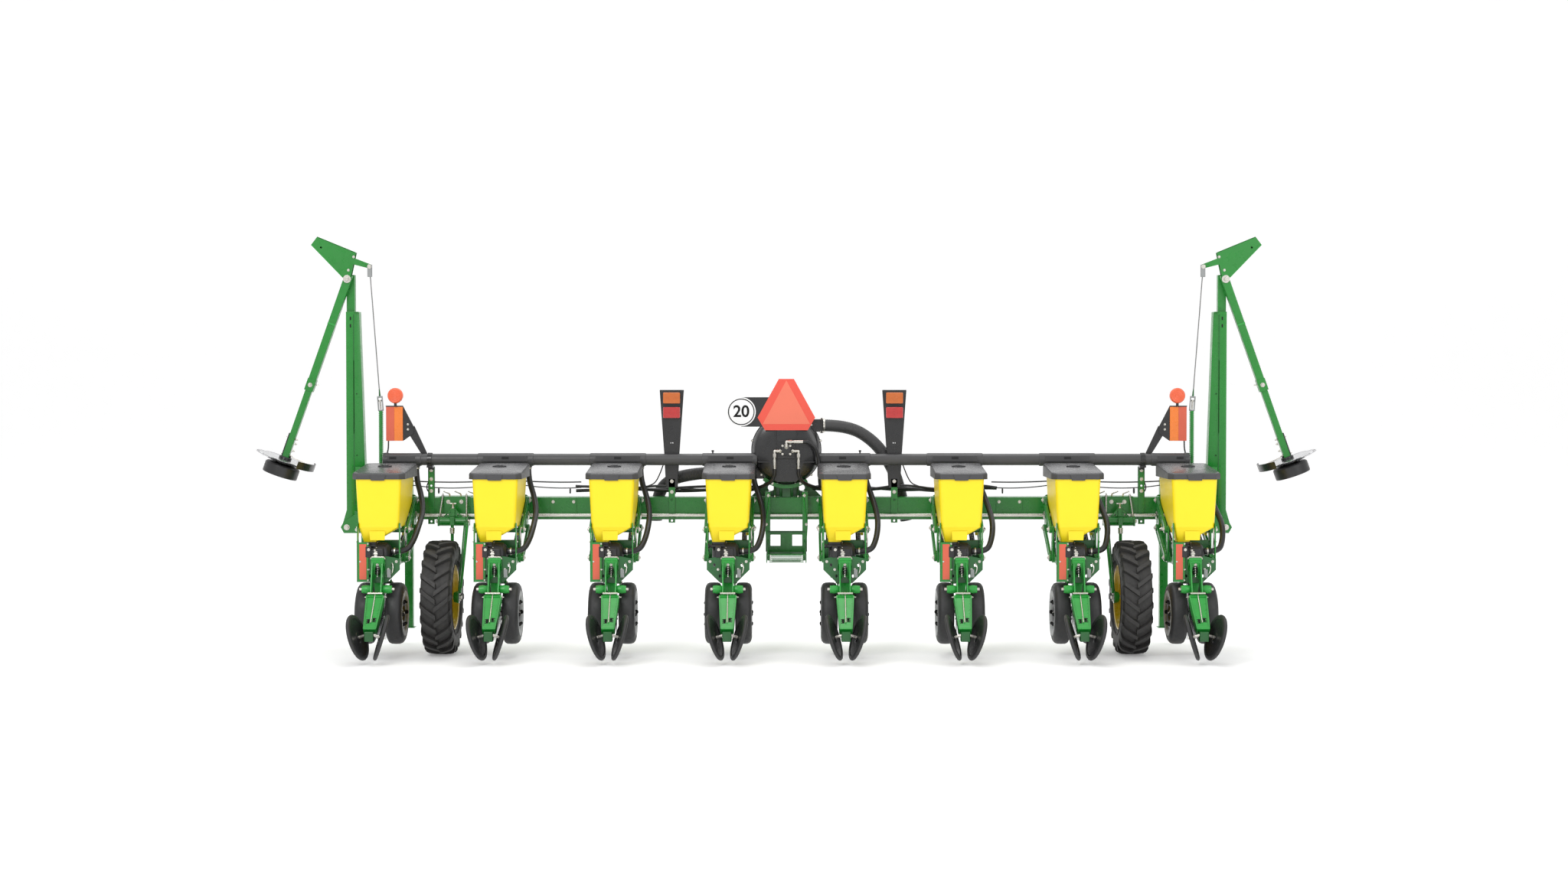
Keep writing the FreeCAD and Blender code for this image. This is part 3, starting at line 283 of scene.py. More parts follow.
class Form:
    """Shapes in millimetres, each with a finish, that become one mesh."""

    def __init__(self):
        self.points, self.faces, self.looks = [], [], []

    def take(self, bm, look, bevel, steps=2):
        """Merges a new shape's points, rounds its sharp edges and adds it."""
        bmesh.ops.remove_doubles(bm, verts=bm.verts, dist=0.001)
        bmesh.ops.recalc_face_normals(bm, faces=bm.faces)
        if bevel:
            sharp = [e for e in bm.edges if len(e.link_faces) == 2 and e.calc_face_angle() > SHARP]
            bmesh.ops.bevel(bm, geom=sharp, offset=bevel, segments=steps, profile=0.5,
                            affect="EDGES", clamp_overlap=True)
        start = len(self.points)
        bm.verts.index_update()
        self.points += [v.co.copy() for v in bm.verts]
        self.faces += [[start + v.index for v in f.verts] for f in bm.faces]
        self.looks += [look] * len(bm.faces)
        bm.free()
        return self

    def join(self, other, matrix=None):
        """Adds another form, moved by a matrix, which may mirror it."""
        matrix = matrix or Matrix()
        start, flip = len(self.points), matrix.determinant() < 0
        self.points += [matrix @ p for p in other.points]
        for face in other.faces:
            ids = [start + i for i in face]
            self.faces.append(ids[::-1] if flip else ids)
        self.looks += other.looks
        return self

    def both(self, other):
        """Adds another form on both sides of the middle."""
        return self.join(other).join(other, MIRROR)

    def solid(self, points, faces, look, bevel=1.5, steps=2):
        """A closed shape from its corners and faces."""
        bm = bmesh.new()
        made = [bm.verts.new(p) for p in points]
        for face in faces:
            bm.faces.new([made[i] for i in face])
        return self.take(bm, look, bevel, steps)

    def plate(self, axis, outline, w0, w1, look="green", holes=(), bevel=1.5):
        """An outline across an axis, made solid from w0 to w1, with holes through it."""
        loops, place = [list(outline)] + [list(h) for h in holes], PLACE[axis]
        flat = [p for loop in loops for p in loop]
        count = len(flat)
        if holes:
            caps = tessellate_polygon([[Vector((u, v, 0)) for u, v in loop] for loop in loops])
        else:
            caps = [range(count)]
        faces = [list(c) for c in caps] + [[i + count for i in c] for c in caps]
        base = 0
        for loop in loops:
            m = len(loop)
            faces += [[base + i, base + (i + 1) % m, count + base + (i + 1) % m, count + base + i]
                      for i in range(m)]
            base += m
        return self.solid([place(u, v, w) for w in (w0, w1) for u, v in flat], faces, look, bevel)

    def box(self, x0, x1, y0, y1, z0, z1, look="green", bevel=1.5):
        return self.plate("z", [(x0, y0), (x1, y0), (x1, y1), (x0, y1)], z0, z1, look, (), bevel)

    def loft(self, rings, look, bevel=1.5, steps=2):
        """A skin over rings of as many points each, capped at both ends."""
        m = len(rings[0])
        faces = [list(range(m)), [(len(rings) - 1) * m + i for i in range(m)]]
        for k in range(len(rings) - 1):
            faces += [[k * m + i, k * m + (i + 1) % m, (k + 1) * m + (i + 1) % m, (k + 1) * m + i]
                      for i in range(m)]
        return self.solid([p for r in rings for p in r], faces, look, bevel, steps)

    def turn(self, profile, look, at=(0, 0, 0), along=OUT, sides=48, bevel=0.0):
        """A ring turned from a closed profile of (along, radius) points."""
        place, m = turned_to(at, along), len(profile)
        circle = ring(0, 0, 1.0, 1, sides)
        points = [place @ Vector((r * u, r * v, w)) for u, v in circle for w, r in profile]
        bm = bmesh.new()
        made = [bm.verts.new(p) for p in points]
        for a in range(sides):
            b = (a + 1) % sides
            for i in range(m):
                j = (i + 1) % m
                if profile[i][1] > 0 or profile[j][1] > 0:
                    bm.faces.new([made[a * m + i], made[a * m + j], made[b * m + j], made[b * m + i]])
        return self.take(bm, look, bevel)

    def rod(self, start, end, r, look="zinc", bevel=1.0, sides=20, r1=None):
        """A bar between two points; r1 is its radius at the far end."""
        start, end = Vector(start), Vector(end)
        place, length = turned_to(start, end - start), (end - start).length
        rings = [[place @ Vector((u, v, w)) for u, v in ring(0, 0, q, 1, sides)]
                 for w, q in ((0, r), (length, r if r1 is None else r1))]
        return self.loft(rings, look, bevel)

    def sweep(self, line, r, look="hose", sides=10, ripple=0.0):
        """A round tube along a line; ripple is the depth of its ribs."""
        line = [Vector(p) for p in line]
        tangent = (line[1] - line[0]).normalized()
        side = tangent.orthogonal().normalized()
        rings = []
        for k, p in enumerate(line):
            ahead = (line[min(k + 1, len(line) - 1)] - line[max(k - 1, 0)]).normalized()
            side = (side - ahead * side.dot(ahead)).normalized()
            up = ahead.cross(side)
            q = r - (ripple if k % 2 else 0.0)
            rings.append([p + (side * u + up * v) * q for u, v in ring(0, 0, 1.0, 1, sides)])
        return self.loft(rings, look, 0)

    def coil(self, start, end, r, wire, turns, look="black", sides=7):
        """A spring of round wire between two points."""
        start, end = Vector(start), Vector(end)
        place, length = turned_to(start, end - start), (end - start).length
        count = int(turns * COIL_STEPS)
        line = [place @ Vector((r * math.cos(math.tau * turns * k / count),
                                r * math.sin(math.tau * turns * k / count), length * k / count))
                for k in range(count + 1)]
        return self.sweep(line, wire, look, sides)

    def bolt(self, at, along, size=16.0, stub=0.0):
        """A hexagon head on a washer, with a threaded end if stub is given."""
        at, along = Vector(at), Vector(along).normalized()
        self.rod(at, at + along * 2.5, size * 0.78, "zinc", 0.6, 20)
        self.rod(at + along * 2.5, at + along * (2.5 + size * 0.5), size * 0.55, "zinc", 1.4, 6)
        if stub:
            self.rod(at, at + along * (4 + size * 0.5 + stub), size * 0.30, "zinc", 1.0, 12)
        return self

    def mesh(self, name):
        """The finished mesh in metres, with its materials and shading."""
        looks = sorted(set(self.looks))
        mesh = bpy.data.meshes.new(name)
        mesh.from_pydata([tuple(p * MM) for p in self.points], [], self.faces)
        for look in looks:
            mesh.materials.append(LOOK[look])
        mesh.polygons.foreach_set("material_index", [looks.index(k) for k in self.looks])
        mesh.shade_smooth()
        mesh.set_sharp_from_angle(angle=math.radians(40))
        holder = bpy.data.objects.new(name, mesh)
        scene.collection.objects.link(holder)
        even = holder.modifiers.new("even", "WEIGHTED_NORMAL")
        even.keep_sharp = True
        shaded = holder.evaluated_get(bpy.context.evaluated_depsgraph_get())
        final = bpy.data.meshes.new_from_object(shaded)
        bpy.data.objects.remove(holder)
        bpy.data.meshes.remove(mesh)
        final.name = name
        return final


def piece(name, mesh, body, *nodes, slot, at=(0, 0, 0)):
    """A Blender object from a mesh or form that stands for CAD nodes and rides a body."""
    if isinstance(mesh, Form):
        mesh = mesh.mesh(name)
    obj = bpy.data.objects.new(name, mesh)
    scene.collection.objects.link(obj)
    obj.location = Vector(at) * MM
    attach(obj, body)
    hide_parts(*nodes)
    return obj


# ---- camera and light

def add_camera():
    """The camera of the reference view, straight behind the machine."""
    data = bpy.data.cameras.new("camera")
    data.lens, data.sensor_width, data.clip_end = 54.0, 36.0, 200.0
    camera = bpy.data.objects.new("camera", data)
    scene.collection.objects.link(camera)
    camera.location = (-0.016, -16.40, 1.017)
    camera.rotation_euler = (math.radians(90 - 1.45), 0, 0)
    scene.camera = camera


def add_light(name, place, target, size, power):
    """A round soft lamp that faces a target."""
    data = bpy.data.lights.new(name, "AREA")
    data.shape, data.size, data.energy = "DISK", size, power
    lamp = bpy.data.objects.new(name, data)
    scene.collection.objects.link(lamp)
    lamp.location = place
    aim = Vector(target) - Vector(place)
    lamp.rotation_euler = aim.to_track_quat("-Z", "Y").to_euler()


def pale_floor():
    """Matt near-white, a little lit from within so that its far end stays white."""
    mat = finish_of("pale_floor", (0.88, 0.88, 0.88), 0.8, tint=0.01)
    shader = mat.node_tree.nodes["Principled BSDF"]
    shader.inputs["Emission Color"].default_value = (1, 1, 1, 1)
    shader.inputs["Emission Strength"].default_value = 0.22
    return mat


def add_studio():
    """A pale floor that sweeps up far behind the machine, and soft light."""
    floor_z, sweep, wide, near, far = FLOOR_Z * MM - 0.001, 7.0, 60.0, -60.0, 22.0
    line = [(near, 0.0), (far, 0.0)]
    line += [(far + sweep * math.sin(math.radians(a)), sweep * (1 - math.cos(math.radians(a))))
             for a in range(6, 91, 6)] + [(far + sweep, 40.0)]
    points = [(x, y, floor_z + z) for y, z in line for x in (-wide, wide)]
    faces = [(2 * i, 2 * i + 1, 2 * i + 3, 2 * i + 2) for i in range(len(line) - 1)]
    mesh = bpy.data.meshes.new("studio_floor")
    mesh.from_pydata(points, [], faces)
    mesh.shade_smooth()
    mesh.materials.append(pale_floor())
    floor = bpy.data.objects.new("studio_floor", mesh)
    scene.collection.objects.link(floor)
    world = bpy.data.worlds.new("studio")
    scene.world = world
    world.use_nodes = True
    world.node_tree.nodes["Background"].inputs["Color"].default_value = (1.0, 1.0, 1.0, 1)
    world.node_tree.nodes["Background"].inputs["Strength"].default_value = 0.80
    add_light("key", (-5.0, -11.0, 7.5), (0, 0, 0.2), 5.0, 470)
    add_light("fill", (7.5, -9.0, 4.5), (0, 0, 0.2), 6.0, 220)
    add_light("top", (0.0, 1.0, 9.0), (0, -0.5, 0.0), 7.0, 300)
    scene.view_settings.view_transform = "Standard"


add_camera()
add_studio()


# ---- hoses

ROW_HOSE = ((0.153, -0.4297, 0.4354), (0.153, -0.4297, 0.350), (0.195, -0.4847, 0.240),
            (0.225, -0.5997, 0.140), (0.229, -0.8007, 0.0607), (0.211, -0.9057, -0.0344),
            (0.173, -0.9807, -0.1044), (0.1053, -0.9807, -0.1044))
RIGHT_DUCT = ((0.250, -0.3352, 0.710), (0.420, -0.3352, 0.710), (0.600, -0.3372, 0.605),
              (0.720, -0.3352, 0.435), (0.790, -0.1488, 0.255), (0.830, -0.1438, 0.0488))
LEFT_DUCT = ((-0.250, -0.3352, 0.390), (-0.420, -0.3352, 0.390), (-0.640, -0.3352, 0.380),
             (-0.820, -0.1938, 0.330), (-0.900, -0.1488, 0.205), (-0.900, -0.1438, 0.0488))
HOSE_R, DUCT_R = 19.0, 42.0


def spline_line(route, resolution):
    """Points read from the route's own NURBS spline, in millimetres."""
    data = bpy.data.curves.new("route", "CURVE")
    data.dimensions, data.resolution_u = "3D", resolution
    spline = data.splines.new("NURBS")
    spline.points.add(len(route) - 1)
    for point, place in zip(spline.points, route):
        point.co = (*place, 1.0)
    spline.order_u, spline.use_endpoint_u = 3, True
    holder = bpy.data.objects.new("route", data)
    scene.collection.objects.link(holder)
    shape = bpy.data.meshes.new_from_object(holder)
    line = [v.co / MM for v in shape.vertices]
    bpy.data.objects.remove(holder)
    bpy.data.meshes.remove(shape)
    return line


def row_hoses():
    """Each hose is drawn in two runs that meet beside the rear pivots."""
    line = spline_line(ROW_HOSE, 12)
    meet = min(range(len(line)), key=lambda k: abs(line[k].y - UNIT_Y))
    for row, x in enumerate(ROW_X, 1):
        shifted = [p + Vector((x, 0, 0)) for p in line]
        arm, unit = "row%d_upper_arms" % row, "row%d_unit" % row
        for tag, part, bodies in (("upper", shifted[:meet + 1], ("root", arm)),
                                  ("lower", shifted[meet:], (arm, unit))):
            hose = bpy.data.objects.new("row%d_hose_%s" % (row, tag),
                                        Form().sweep(part, HOSE_R, "hose", 20).mesh("hose"))
            scene.collection.objects.link(hose)
            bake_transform(hose)
            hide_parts("row_vacuum_hoses")


def fan_ducts():
    """Ribbed ducts from the fan's two mouths."""
    for name, route in (("right_air_duct", RIGHT_DUCT), ("left_air_duct", LEFT_DUCT)):
        line = spline_line(route, 36)
        duct = Form().sweep(line, DUCT_R, "duct", 24, ripple=2.2)
        duct = piece(name, duct, "root", "fan_hoses", slot="black_rubber")


row_hoses()
fan_ducts()


# ---- one row unit, about its row's middle and its lower rear pivot

def link_pin(f, x, y, z):
    """A pin of the linkage, out from x, with its washer and bolt."""
    f.rod((x, y, z), (172, y, z), 12.4, "zinc", 1.5)
    f.rod((163.5, y, z), (167, y, z), 21, "zinc", 0.8)
    f.bolt((167, y, z), OUT, 15)


def weldment():
    """Shank, side plates, hopper uprights and the rear plate."""
    f = Form()
    # Shank and pivot tubes in the darker green: painted shade under the hopper.
    f.box(-133, 133, -22, 22, -22, 118, "dark_green", 5)
    for z in (0, LINK_GAP):
        f.rod((-134, 0, z), (134, 0, z), 20, "dark_green", 2, 24)
    f.loft([quad(-45, 45, -30, 55, -142), quad(-60, 60, -30, 40, -26)], "green", 5)
    side = Form()
    ear = [(-30, -30), (30, -30), (30, 180), (22, 205), (0, 215), (-22, 205), (-30, 180)]
    side.plate("x", ear, 134, 146, "green", [ring(0, 94, 14)], 2)
    for z in (0, LINK_GAP):
        link_pin(side, 146, 0, z)
    side.plate("x", [(-221, -30), (-30, -30), (-30, 40), (-60, 12), (-221, 10)], 128, 134, "green",
               [ring(-110, -10, 9), ring(-170, -10, 9)])
    side.plate("x", [(-221, -30), (-186, -30), (-186, 232), (-199, 243), (-212, 243), (-221, 232)],
               134, 140, "green", [ring(-203, z, 7) for z in (30, 120, 215)])
    for z in (120, 215):
        side.bolt((140, -203, z), OUT, 11)
    side.box(100, 134, -226, -214, -28, 8, "green", 2)
    f.both(side)
    hexagon = [(-140, 10), (-140, -62), (-52, -148), (52, -148), (140, -62), (140, 10), (60, 26),
               (-60, 26)]
    openings = [ring(s * x, z, r, 1.5) for x, z, r in ((90, -31, 8), (54, -103, 7))
                for s in (-1, 1)]
    # The rear plate in the darker green: painted shade.
    f.plate("y", hexagon, -226.5, -220.5, "dark_green", openings)
    for s in (-1, 1):
        f.bolt((s * 118, -226.5, -8), BACK, 12, 4)
        f.bolt((s * 66, -226.5, -60), BACK, 11, 3)
        f.plate("x", [(-260, -30), (-226, 12), (-226, -70)], s * 42 - 4, s * 42 + 4, "green")
    # A block in the lighter green: painted light.
    f.loft([quad(-42, 42, -262, -226, z) for z in (18, -20)], "lime", 3)
    f.plate("x", [(55, -142), (55, -190), (-10, -390), (-75, -390), (-75, -142)], -7, 7, "black",
            [ring(10, -200, 12)], 1.5)
    f.rod((-44, 40, -167), (44, 40, -167), 10, "zinc")
    return f


def row_hardware():
    """Bright rods, clips and hooks that show around each unit's casting."""
    f = Form()
    f.coil((0, -232, 2), (0, -262, -96), 15, 3.2, 7, "black")
    f.rod((0, -228, 22), (0, -266, -108), 5, "zinc")
    f.bolt((0, -227, 24), (0, 0.3, 1), 12)
    f.rod((40, -246, 22), (-40, -246, 22), 6, "zinc")
    for s in (-1, 1):
        f.rod((s * 40, -246, 22), (s * 46, -240, 10), 6, "zinc")
    f.sweep(smooth_line([(150, -60, 40), (152, -70, 120), (150, -78, 180), (158, -84, 205),
                         (166, -74, 196)]), 4.5, "zinc", 8)
    f.sweep(smooth_line([(92, -232, -18), (100, -250, -40), (96, -252, -72), (84, -240, -92)]), 4,
            "zinc", 8)
    f.box(58, 84, -244, -228, -112, -58, "grey", 3)
    return f


def link_pair(springs):
    """Two pressed links about the front pivot; springs draw the down-force springs."""
    side = Form()
    stadium = arc(0, 0, LINK_R, range(-90, 91, 15)) + arc(-LINK, 0, LINK_R, range(90, 271, 15))
    bores = [ring(0, 0, 12.6), ring(-LINK, 0, 13.0)]
    side.plate("x", stadium, 151, 159, "green", bores + [ring(-LINK / 2, 0, 9, 1, 12)])
    for z0, z1 in ((19, 25), (-25, -19)):
        side.box(147, 163, -385, -15, z0, z1, "green", 1.5)
    for y in (0, -LINK):
        side.turn([(-8, 13), (8, 13), (8, 24.5), (-8, 24.5)], "green", (155, y, 0), OUT, 28, 1)
    f = Form().both(side)
    if springs:
        pair = Form()
        pair.coil((100, -52, 34), (100, -318, 34), 14, 3.4, 16, "black")
        for near, end in ((-30, -52), (-318, -338)):
            pair.rod((100, near, 34), (100, end, 34), 5, "zinc")
        for y in (-34, -336):
            pair.rod((88, y, 34), (151, y, 8), 6, "zinc")
        f.both(pair)
    return f


def opener_discs():
    """The two opener discs, toed in, with their hubs and bolts."""
    f, toe = Form(), math.radians(5)
    for s in (-1, 1):
        along = Vector((math.cos(toe), s * math.sin(toe), 0))
        at = Vector((s * 19, -50, -352))
        edge = [(-1.75, 0), (-1.75, 176), (-0.4, 190.5), (0.4, 190.5), (1.75, 176), (1.75, 0)]
        f.turn(edge, "steel", at, along, 72)
        out = along * s
        f.rod(at - out * 8, at, 30, "zinc", 1, 28)
        f.rod(at, at + out * 9, 34, "black", 2, 28)
        f.bolt(at + out * 9, out, 15)
        for k in range(5):
            turn = Matrix.Rotation(math.tau * k / 5, 4, along) @ Vector((0, 0, 58))
            f.bolt(at + out * 1.75 + turn, out, 8)
    return f


def gauge_wheels():
    """Rounded gauge tyres on grey rims, their hubs and the arms that carry them."""
    side, at = Form(), (46, -90, -359)
    side.turn([(2, 140), (0, 160), (2, 182), (10, 196), (24, 202), (50, 203.2), (76, 202),
               (92, 196), (103, 182), (108, 164), (106, 150), (100, 140), (60, 134), (10, 134)],
              "rubber", at, sides=72)
    side.turn([(101, 138), (107.5, 150), (108.4, 144), (106, 120), (98, 108), (94, 112),
               (98, 134)], "grey", at, sides=72)
    side.turn([(52, 138), (98, 112), (96, 60), (80, 40), (74, 30), (60, 30), (52, 60)], "plastic",
              at, sides=60)
    side.turn([(0, 0), (0, 32), (14, 34), (60, 34), (82, 34), (92, 22), (92, 0)], "black", at,
              sides=32)
    # Six dark discs on the centre: painted shade in its holes.
    for k in range(6):
        a = math.tau * k / 6
        side.rod((146, -90 + 80 * math.cos(a), -359 + 80 * math.sin(a)),
                 (150, -90 + 88 * math.cos(a), -359 + 88 * math.sin(a)), 14, "hole", 1, 16)
    side.bolt((138, -90, -359), OUT, 16)
    arm = arc(40, -167, 20, range(-30, 151, 20)) + arc(-90, -359, 19, range(150, 331, 20))
    side.plate("x", arm, 34, 44, "green")
    side.bolt((44, 40, -167), OUT, 14)
    side.rod((44, -90, -359), (62, -90, -359), 10, "zinc")
    return Form().both(side)


CLOSING = (Matrix.Translation((76.5, -570, -469)) @ Matrix.Rotation(math.radians(10), 4, "Z")
           @ Matrix.Rotation(math.radians(17), 4, "Y"))


def closing_wheels():
    """Dished press wheels with raised rubber rims on cast centres."""
    wheel = Form()
    wheel.turn([(-12.5, 126), (-12.5, 140), (-9, 148), (-3, 152), (3, 152), (9, 148),
                (12.5, 140), (12.5, 126), (6, 121), (-6, 121)], "rubber", sides=72)
    wheel.turn([(-8, 124), (8, 124), (5, 100), (3, 60), (8, 34), (-8, 34), (-4, 60), (-5, 100)],
               "plastic", sides=60)
    wheel.turn([(-12.5, 9), (-12.5, 30), (-8, 36), (8, 36), (12.5, 30), (12.5, 9)], "black",
               sides=32)
    wheel.bolt((12.5, 0, 0), OUT, 15)
    wheel.rod((-30, 0, 0), (12, 0, 0), 8, "zinc")
    return Form().both(Form().join(wheel, CLOSING))


def closing_arm():
    """Cast neck and open housing of the closing wheels, with the T handle and its notches."""
    f = Form()
    # The neck, front, tube and housing are in the lighter green: painted light.
    neck = [(-266, -2), (-240, 6), (-226.5, -10), (-226.5, -140), (-306, -262), (-346, -226)]
    for s in (-1, 1):
        f.plate("x", neck, s * 33 - 4, s * 33 + 4, "lime", bevel=2)
    slope = math.atan2(224, 80)
    face = Matrix.Translation((0, -266, -2)) @ Matrix.Rotation(math.pi / 2 - slope, 4, "X")
    front = Form()
    outline = [(-37, 0), (37, 0), (33, -120), (29, -236), (-29, -236), (-33, -120)]
    slot = rounded(-15, 15, -92, -34, 12)
    front.plate("y", outline, -4, 4, "lime", [slot, ring(0, -128, 19)], 2)
    front.box(-40, 40, -8, 6, -12, 2, "lime", 2)
    for k in range(4):
        front.box(-13, 13, -1, 3, -46 - 12 * k, -41 - 12 * k, "zinc", 1)
    front.bolt((0, -4, -24), BACK, 12)
    f.join(front, face)
    tube = Form()
    tube.turn([(36, 0), (36, 20), (44, 25), (72, 28), (98, 24), (100, 0)], "lime", (0, -278.5, -185),
              sides=28)
    tube.rod((98, -278.5, -185), (114, -278.5, -185), 10, "zinc")
    tube.bolt((104, -278.5, -185), OUT, 15)
    tube.bolt((56, -330, -232), OUT, 11, 6)
    f.both(tube)
    along, out = Vector((0, -222, -210)).normalized(), Vector((0, -210, 222)).normalized()
    frame_in = Matrix((Vector(OUT), out, along)).transposed().to_4x4()
    base = Matrix.Translation((0, -352, -222)) @ frame_in
    h = Form()
    for s in (-1, 1):
        h.loft([quad(s * (w - 8), s * w, -46, 8, u) for u, w in ((0, 58), (285, 43))], "lime", 2)
    notch = [rounded(-24, -10, 196, 226, 4), rounded(9, 23, 186, 214, 4)]
    h.plate("y", [(-54, 0), (54, 0), (40, 285), (-40, 285)], -8, -1, "lime", notch)
    # Dark boxes at the handle's notches: painted shade.
    for k in range(3):
        for s, u0 in ((-1, 198), (1, 188)):
            h.box(s * 20 - 12, s * 20 + 12, -9, 0, u0 + 14 * k, u0 + 8 + 14 * k, "hole", 1.5)
    h.box(-43, 43, -46, 6, 258, 288, "lime", 4)
    h.box(-50, 50, -30, 6, -6, 10, "lime", 3)
    h.rod((0, 6, -14), (0, 6, 232), 3.6, "zinc")
    h.rod((-49, 16, -8), (49, 16, -8), 7, "zinc", 2, 16)
    h.rod((0, 4, -8), (0, 16, -8), 6, "zinc")
    # The housing's back in the darker green: painted shade.
    h.box(-42, 42, -70, -40, 20, 250, "dark_green", 5)
    f.join(h, base)
    # The block between the wheels in the darker green: painted shade.
    f.box(-30, 30, -598, -542, -494, -430, "dark_green", 6)
    f.both(Form().join(Form().rod((-62, 0, 0), (12, 0, 0), 9, "zinc"), CLOSING))
    return f


def seed_meter():
    """Domed vacuum side, ribbed seed side, neck, port and the bright latch clip."""
    f = Form()
    y, z = -136, 32
    f.turn([(-25, 0), (-25, 88), (-17, 88), (-14, 82), (20, 81), (48, 76), (66, 60), (74, 36),
            (75, 0)], "plastic", (0, y, z), sides=56, bevel=1.5)
    f.turn([(-105, 0), (-105, 52), (-98, 68), (-84, 77), (-40, 78), (-25, 84), (-25, 0)],
           "plastic", (0, y, z - 12), sides=56, bevel=1.5)
    for k in range(10):
        a = math.tau * k / 10
        ahead = Vector((0, math.cos(a), math.sin(a)))
        f.rod(Vector((18, y, z)) + ahead * 79, Vector((72, y, z)) + ahead * 30, 4, "plastic", 1, 8)
        f.bolt(Vector((-17, y, z)) + ahead * 84, OUT, 6)
    f.loft([rect_ring(-102, -28, y - 32, y + 32, 62), rect_ring(-108, -22, y - 38, y + 38, 104),
            rect_ring(-108, -22, y - 38, y + 38, 116)], "plastic", 4)
    f.box(-112, -18, y - 52, y - 30, 84, 98, "plastic", 3)
    f.rod((-128, y - 30, 90), (-104, y - 30, 90), 12, "plastic", 3)
    f.rod((-140, y - 30, 90), (-126, y - 30, 90), 19, "black", 4, 12)
    f.box(-96, 24, -226, -206, -24, 66, "plastic", 6)
    f.box(-84, -46, -234, -206, 18, 92, "plastic", 5)
    f.box(-36, 34, -240, -206, 26, 78, "plastic", 7)
    f.rod((-62, -236, 70), (-62, -226, 70), 10, "zinc", 1)
    f.bolt((-20, -240, 66), BACK, 9)
    clip = [(-242, 62), (-250, 50), (-246, 20), (-252, -10), (-246, -40), (-236, -52),
            (-232, -40), (-238, -10), (-234, 20), (-236, 50)]
    f.plate("x", clip, -24, -4, "zinc", bevel=1.2)
    for zz in (44, 8, -26):
        f.rod((-28, -246, zz), (0, -246, zz), 5, "zinc", 1, 12)
    for x in (-34, -2):
        f.box(x, x + 8, -250, -226, -46, 58, "black", 2)
    f.rod((75, -151, 54), (105, -151, 54), 21.5, "plastic", 2, 28)
    f.turn([(-5, 19.5), (-5, 24), (5, 24), (5, 19.5)], "zinc", (96, -151, 54), sides=28, bevel=0.8)
    f.loft([rect_ring(20, 60, y - 20, y + 20, -30), rect_ring(16, 64, y - 26, y + 26, 20)],
           "plastic", 4)
    # A strip of the darker green under the meter: painted shade.
    f.box(-122, 122, y - 20, y + 20, -30, -22, "dark_green", 1.5)
    f.loft([rect_ring(-92, -38, -186, -132, -118), rect_ring(-84, -30, -180, -120, -40)],
           "plastic", 4)
    return f


def reflector():
    """Upright plate beside the meter, with its reflective strip."""
    f = Form()
    f.box(-140, -60, -230.5, -226.5, -142, 118, "green", 1)
    for x in (-140, -64):
        f.box(x, x + 4, -230.5, -212, -142, 118, "green", 1)
    f.box(-123, -77, -232.5, -230.5, -125, 106, "strip", 0.8)
    for z in (108, -130):
        f.bolt((-67, -230.5, z), BACK, 7)
    return f


# ---- hopper and lid, from the same pivot

def hopper_rings(inset):
    """Rounded outlines of the hopper from its outlet up to its rim."""
    rings = []
    for z, front, rear, r in ((214, 60, -214, 22), (220, 70, -215.5, 24), (232, 96, -216, 26),
                              (358.5, 314, -223.5, 28), (372, 315, -224, 28), (543, 327, -228.5, 30)):
        half = 150 - (543 - z) * 0.0518
        rings.append([(x, y, z) for x, y in rounded(-half + inset, half - inset, rear + inset,
                                                    front - inset, r)])
    outlet = [(x, y, 116 + inset) for x, y in rounded(-107 + inset, -23 - inset, -172 + inset,
                                                      -86 - inset, 10)]
    band = [(x, y, 126 + inset) for x, y in rounded(-108 + inset, -20 - inset, -174 + inset,
                                                    -84 - inset, 11)]
    return [outlet, band] + rings


def hopper_shell():
    """The hopper's thin shell, with its outlet pocket cut in the rear."""
    rings = hopper_rings(0) + hopper_rings(4)[::-1]
    shell = Form().loft(rings, "yellow", 5, 3)
    holder = bpy.data.objects.new("shell", shell.mesh("hopper_shell"))
    cutter = bpy.data.objects.new("cutter", Form().loft(
        [rect_ring(-56, 34, -262, -186, 128, 4), rect_ring(-60, 40, -262, -200, 192, 4)],
        "yellow", 3).mesh("pocket"))
    for o in (holder, cutter):
        scene.collection.objects.link(o)
    cut = holder.modifiers.new("cut", "BOOLEAN")
    cut.operation, cut.object, cut.solver = "DIFFERENCE", cutter, "EXACT"
    shaded = holder.evaluated_get(bpy.context.evaluated_depsgraph_get())
    mesh = bpy.data.meshes.new_from_object(shaded)
    f = Form()
    f.points = [v.co / MM for v in mesh.vertices]
    f.faces = [list(p.vertices) for p in mesh.polygons]
    f.looks = ["yellow"] * len(f.faces)
    for o in (holder, cutter):
        bpy.data.objects.remove(o)
    f.loft([rect_ring(-58, 38, -203, -200, 130, 1), rect_ring(-62, 42, -206, -203, 190, 1)],
           "yellow", 0.5)
    f.loft([rect_ring(112, 130, 40, 72, 146), rect_ring(108, 133, 20, 74, 232)], "yellow", 3)
    return f


def lid_outline(inset):
    """The lid's outline, rounded in front and chamfered at the rear corners."""
    half, rear, front, cut, r = 172 - inset, -240 + inset, 334.5 - inset, 34, 30
    shape = [(-half + cut, rear), (half - cut, rear), (half, rear + cut * 1.3)]
    shape += arc(half - r, front - r, r, range(0, 91, 15))
    shape += arc(-half + r, front - r, r, range(90, 181, 15))
    return shape + [(-half, rear + cut * 1.3)]


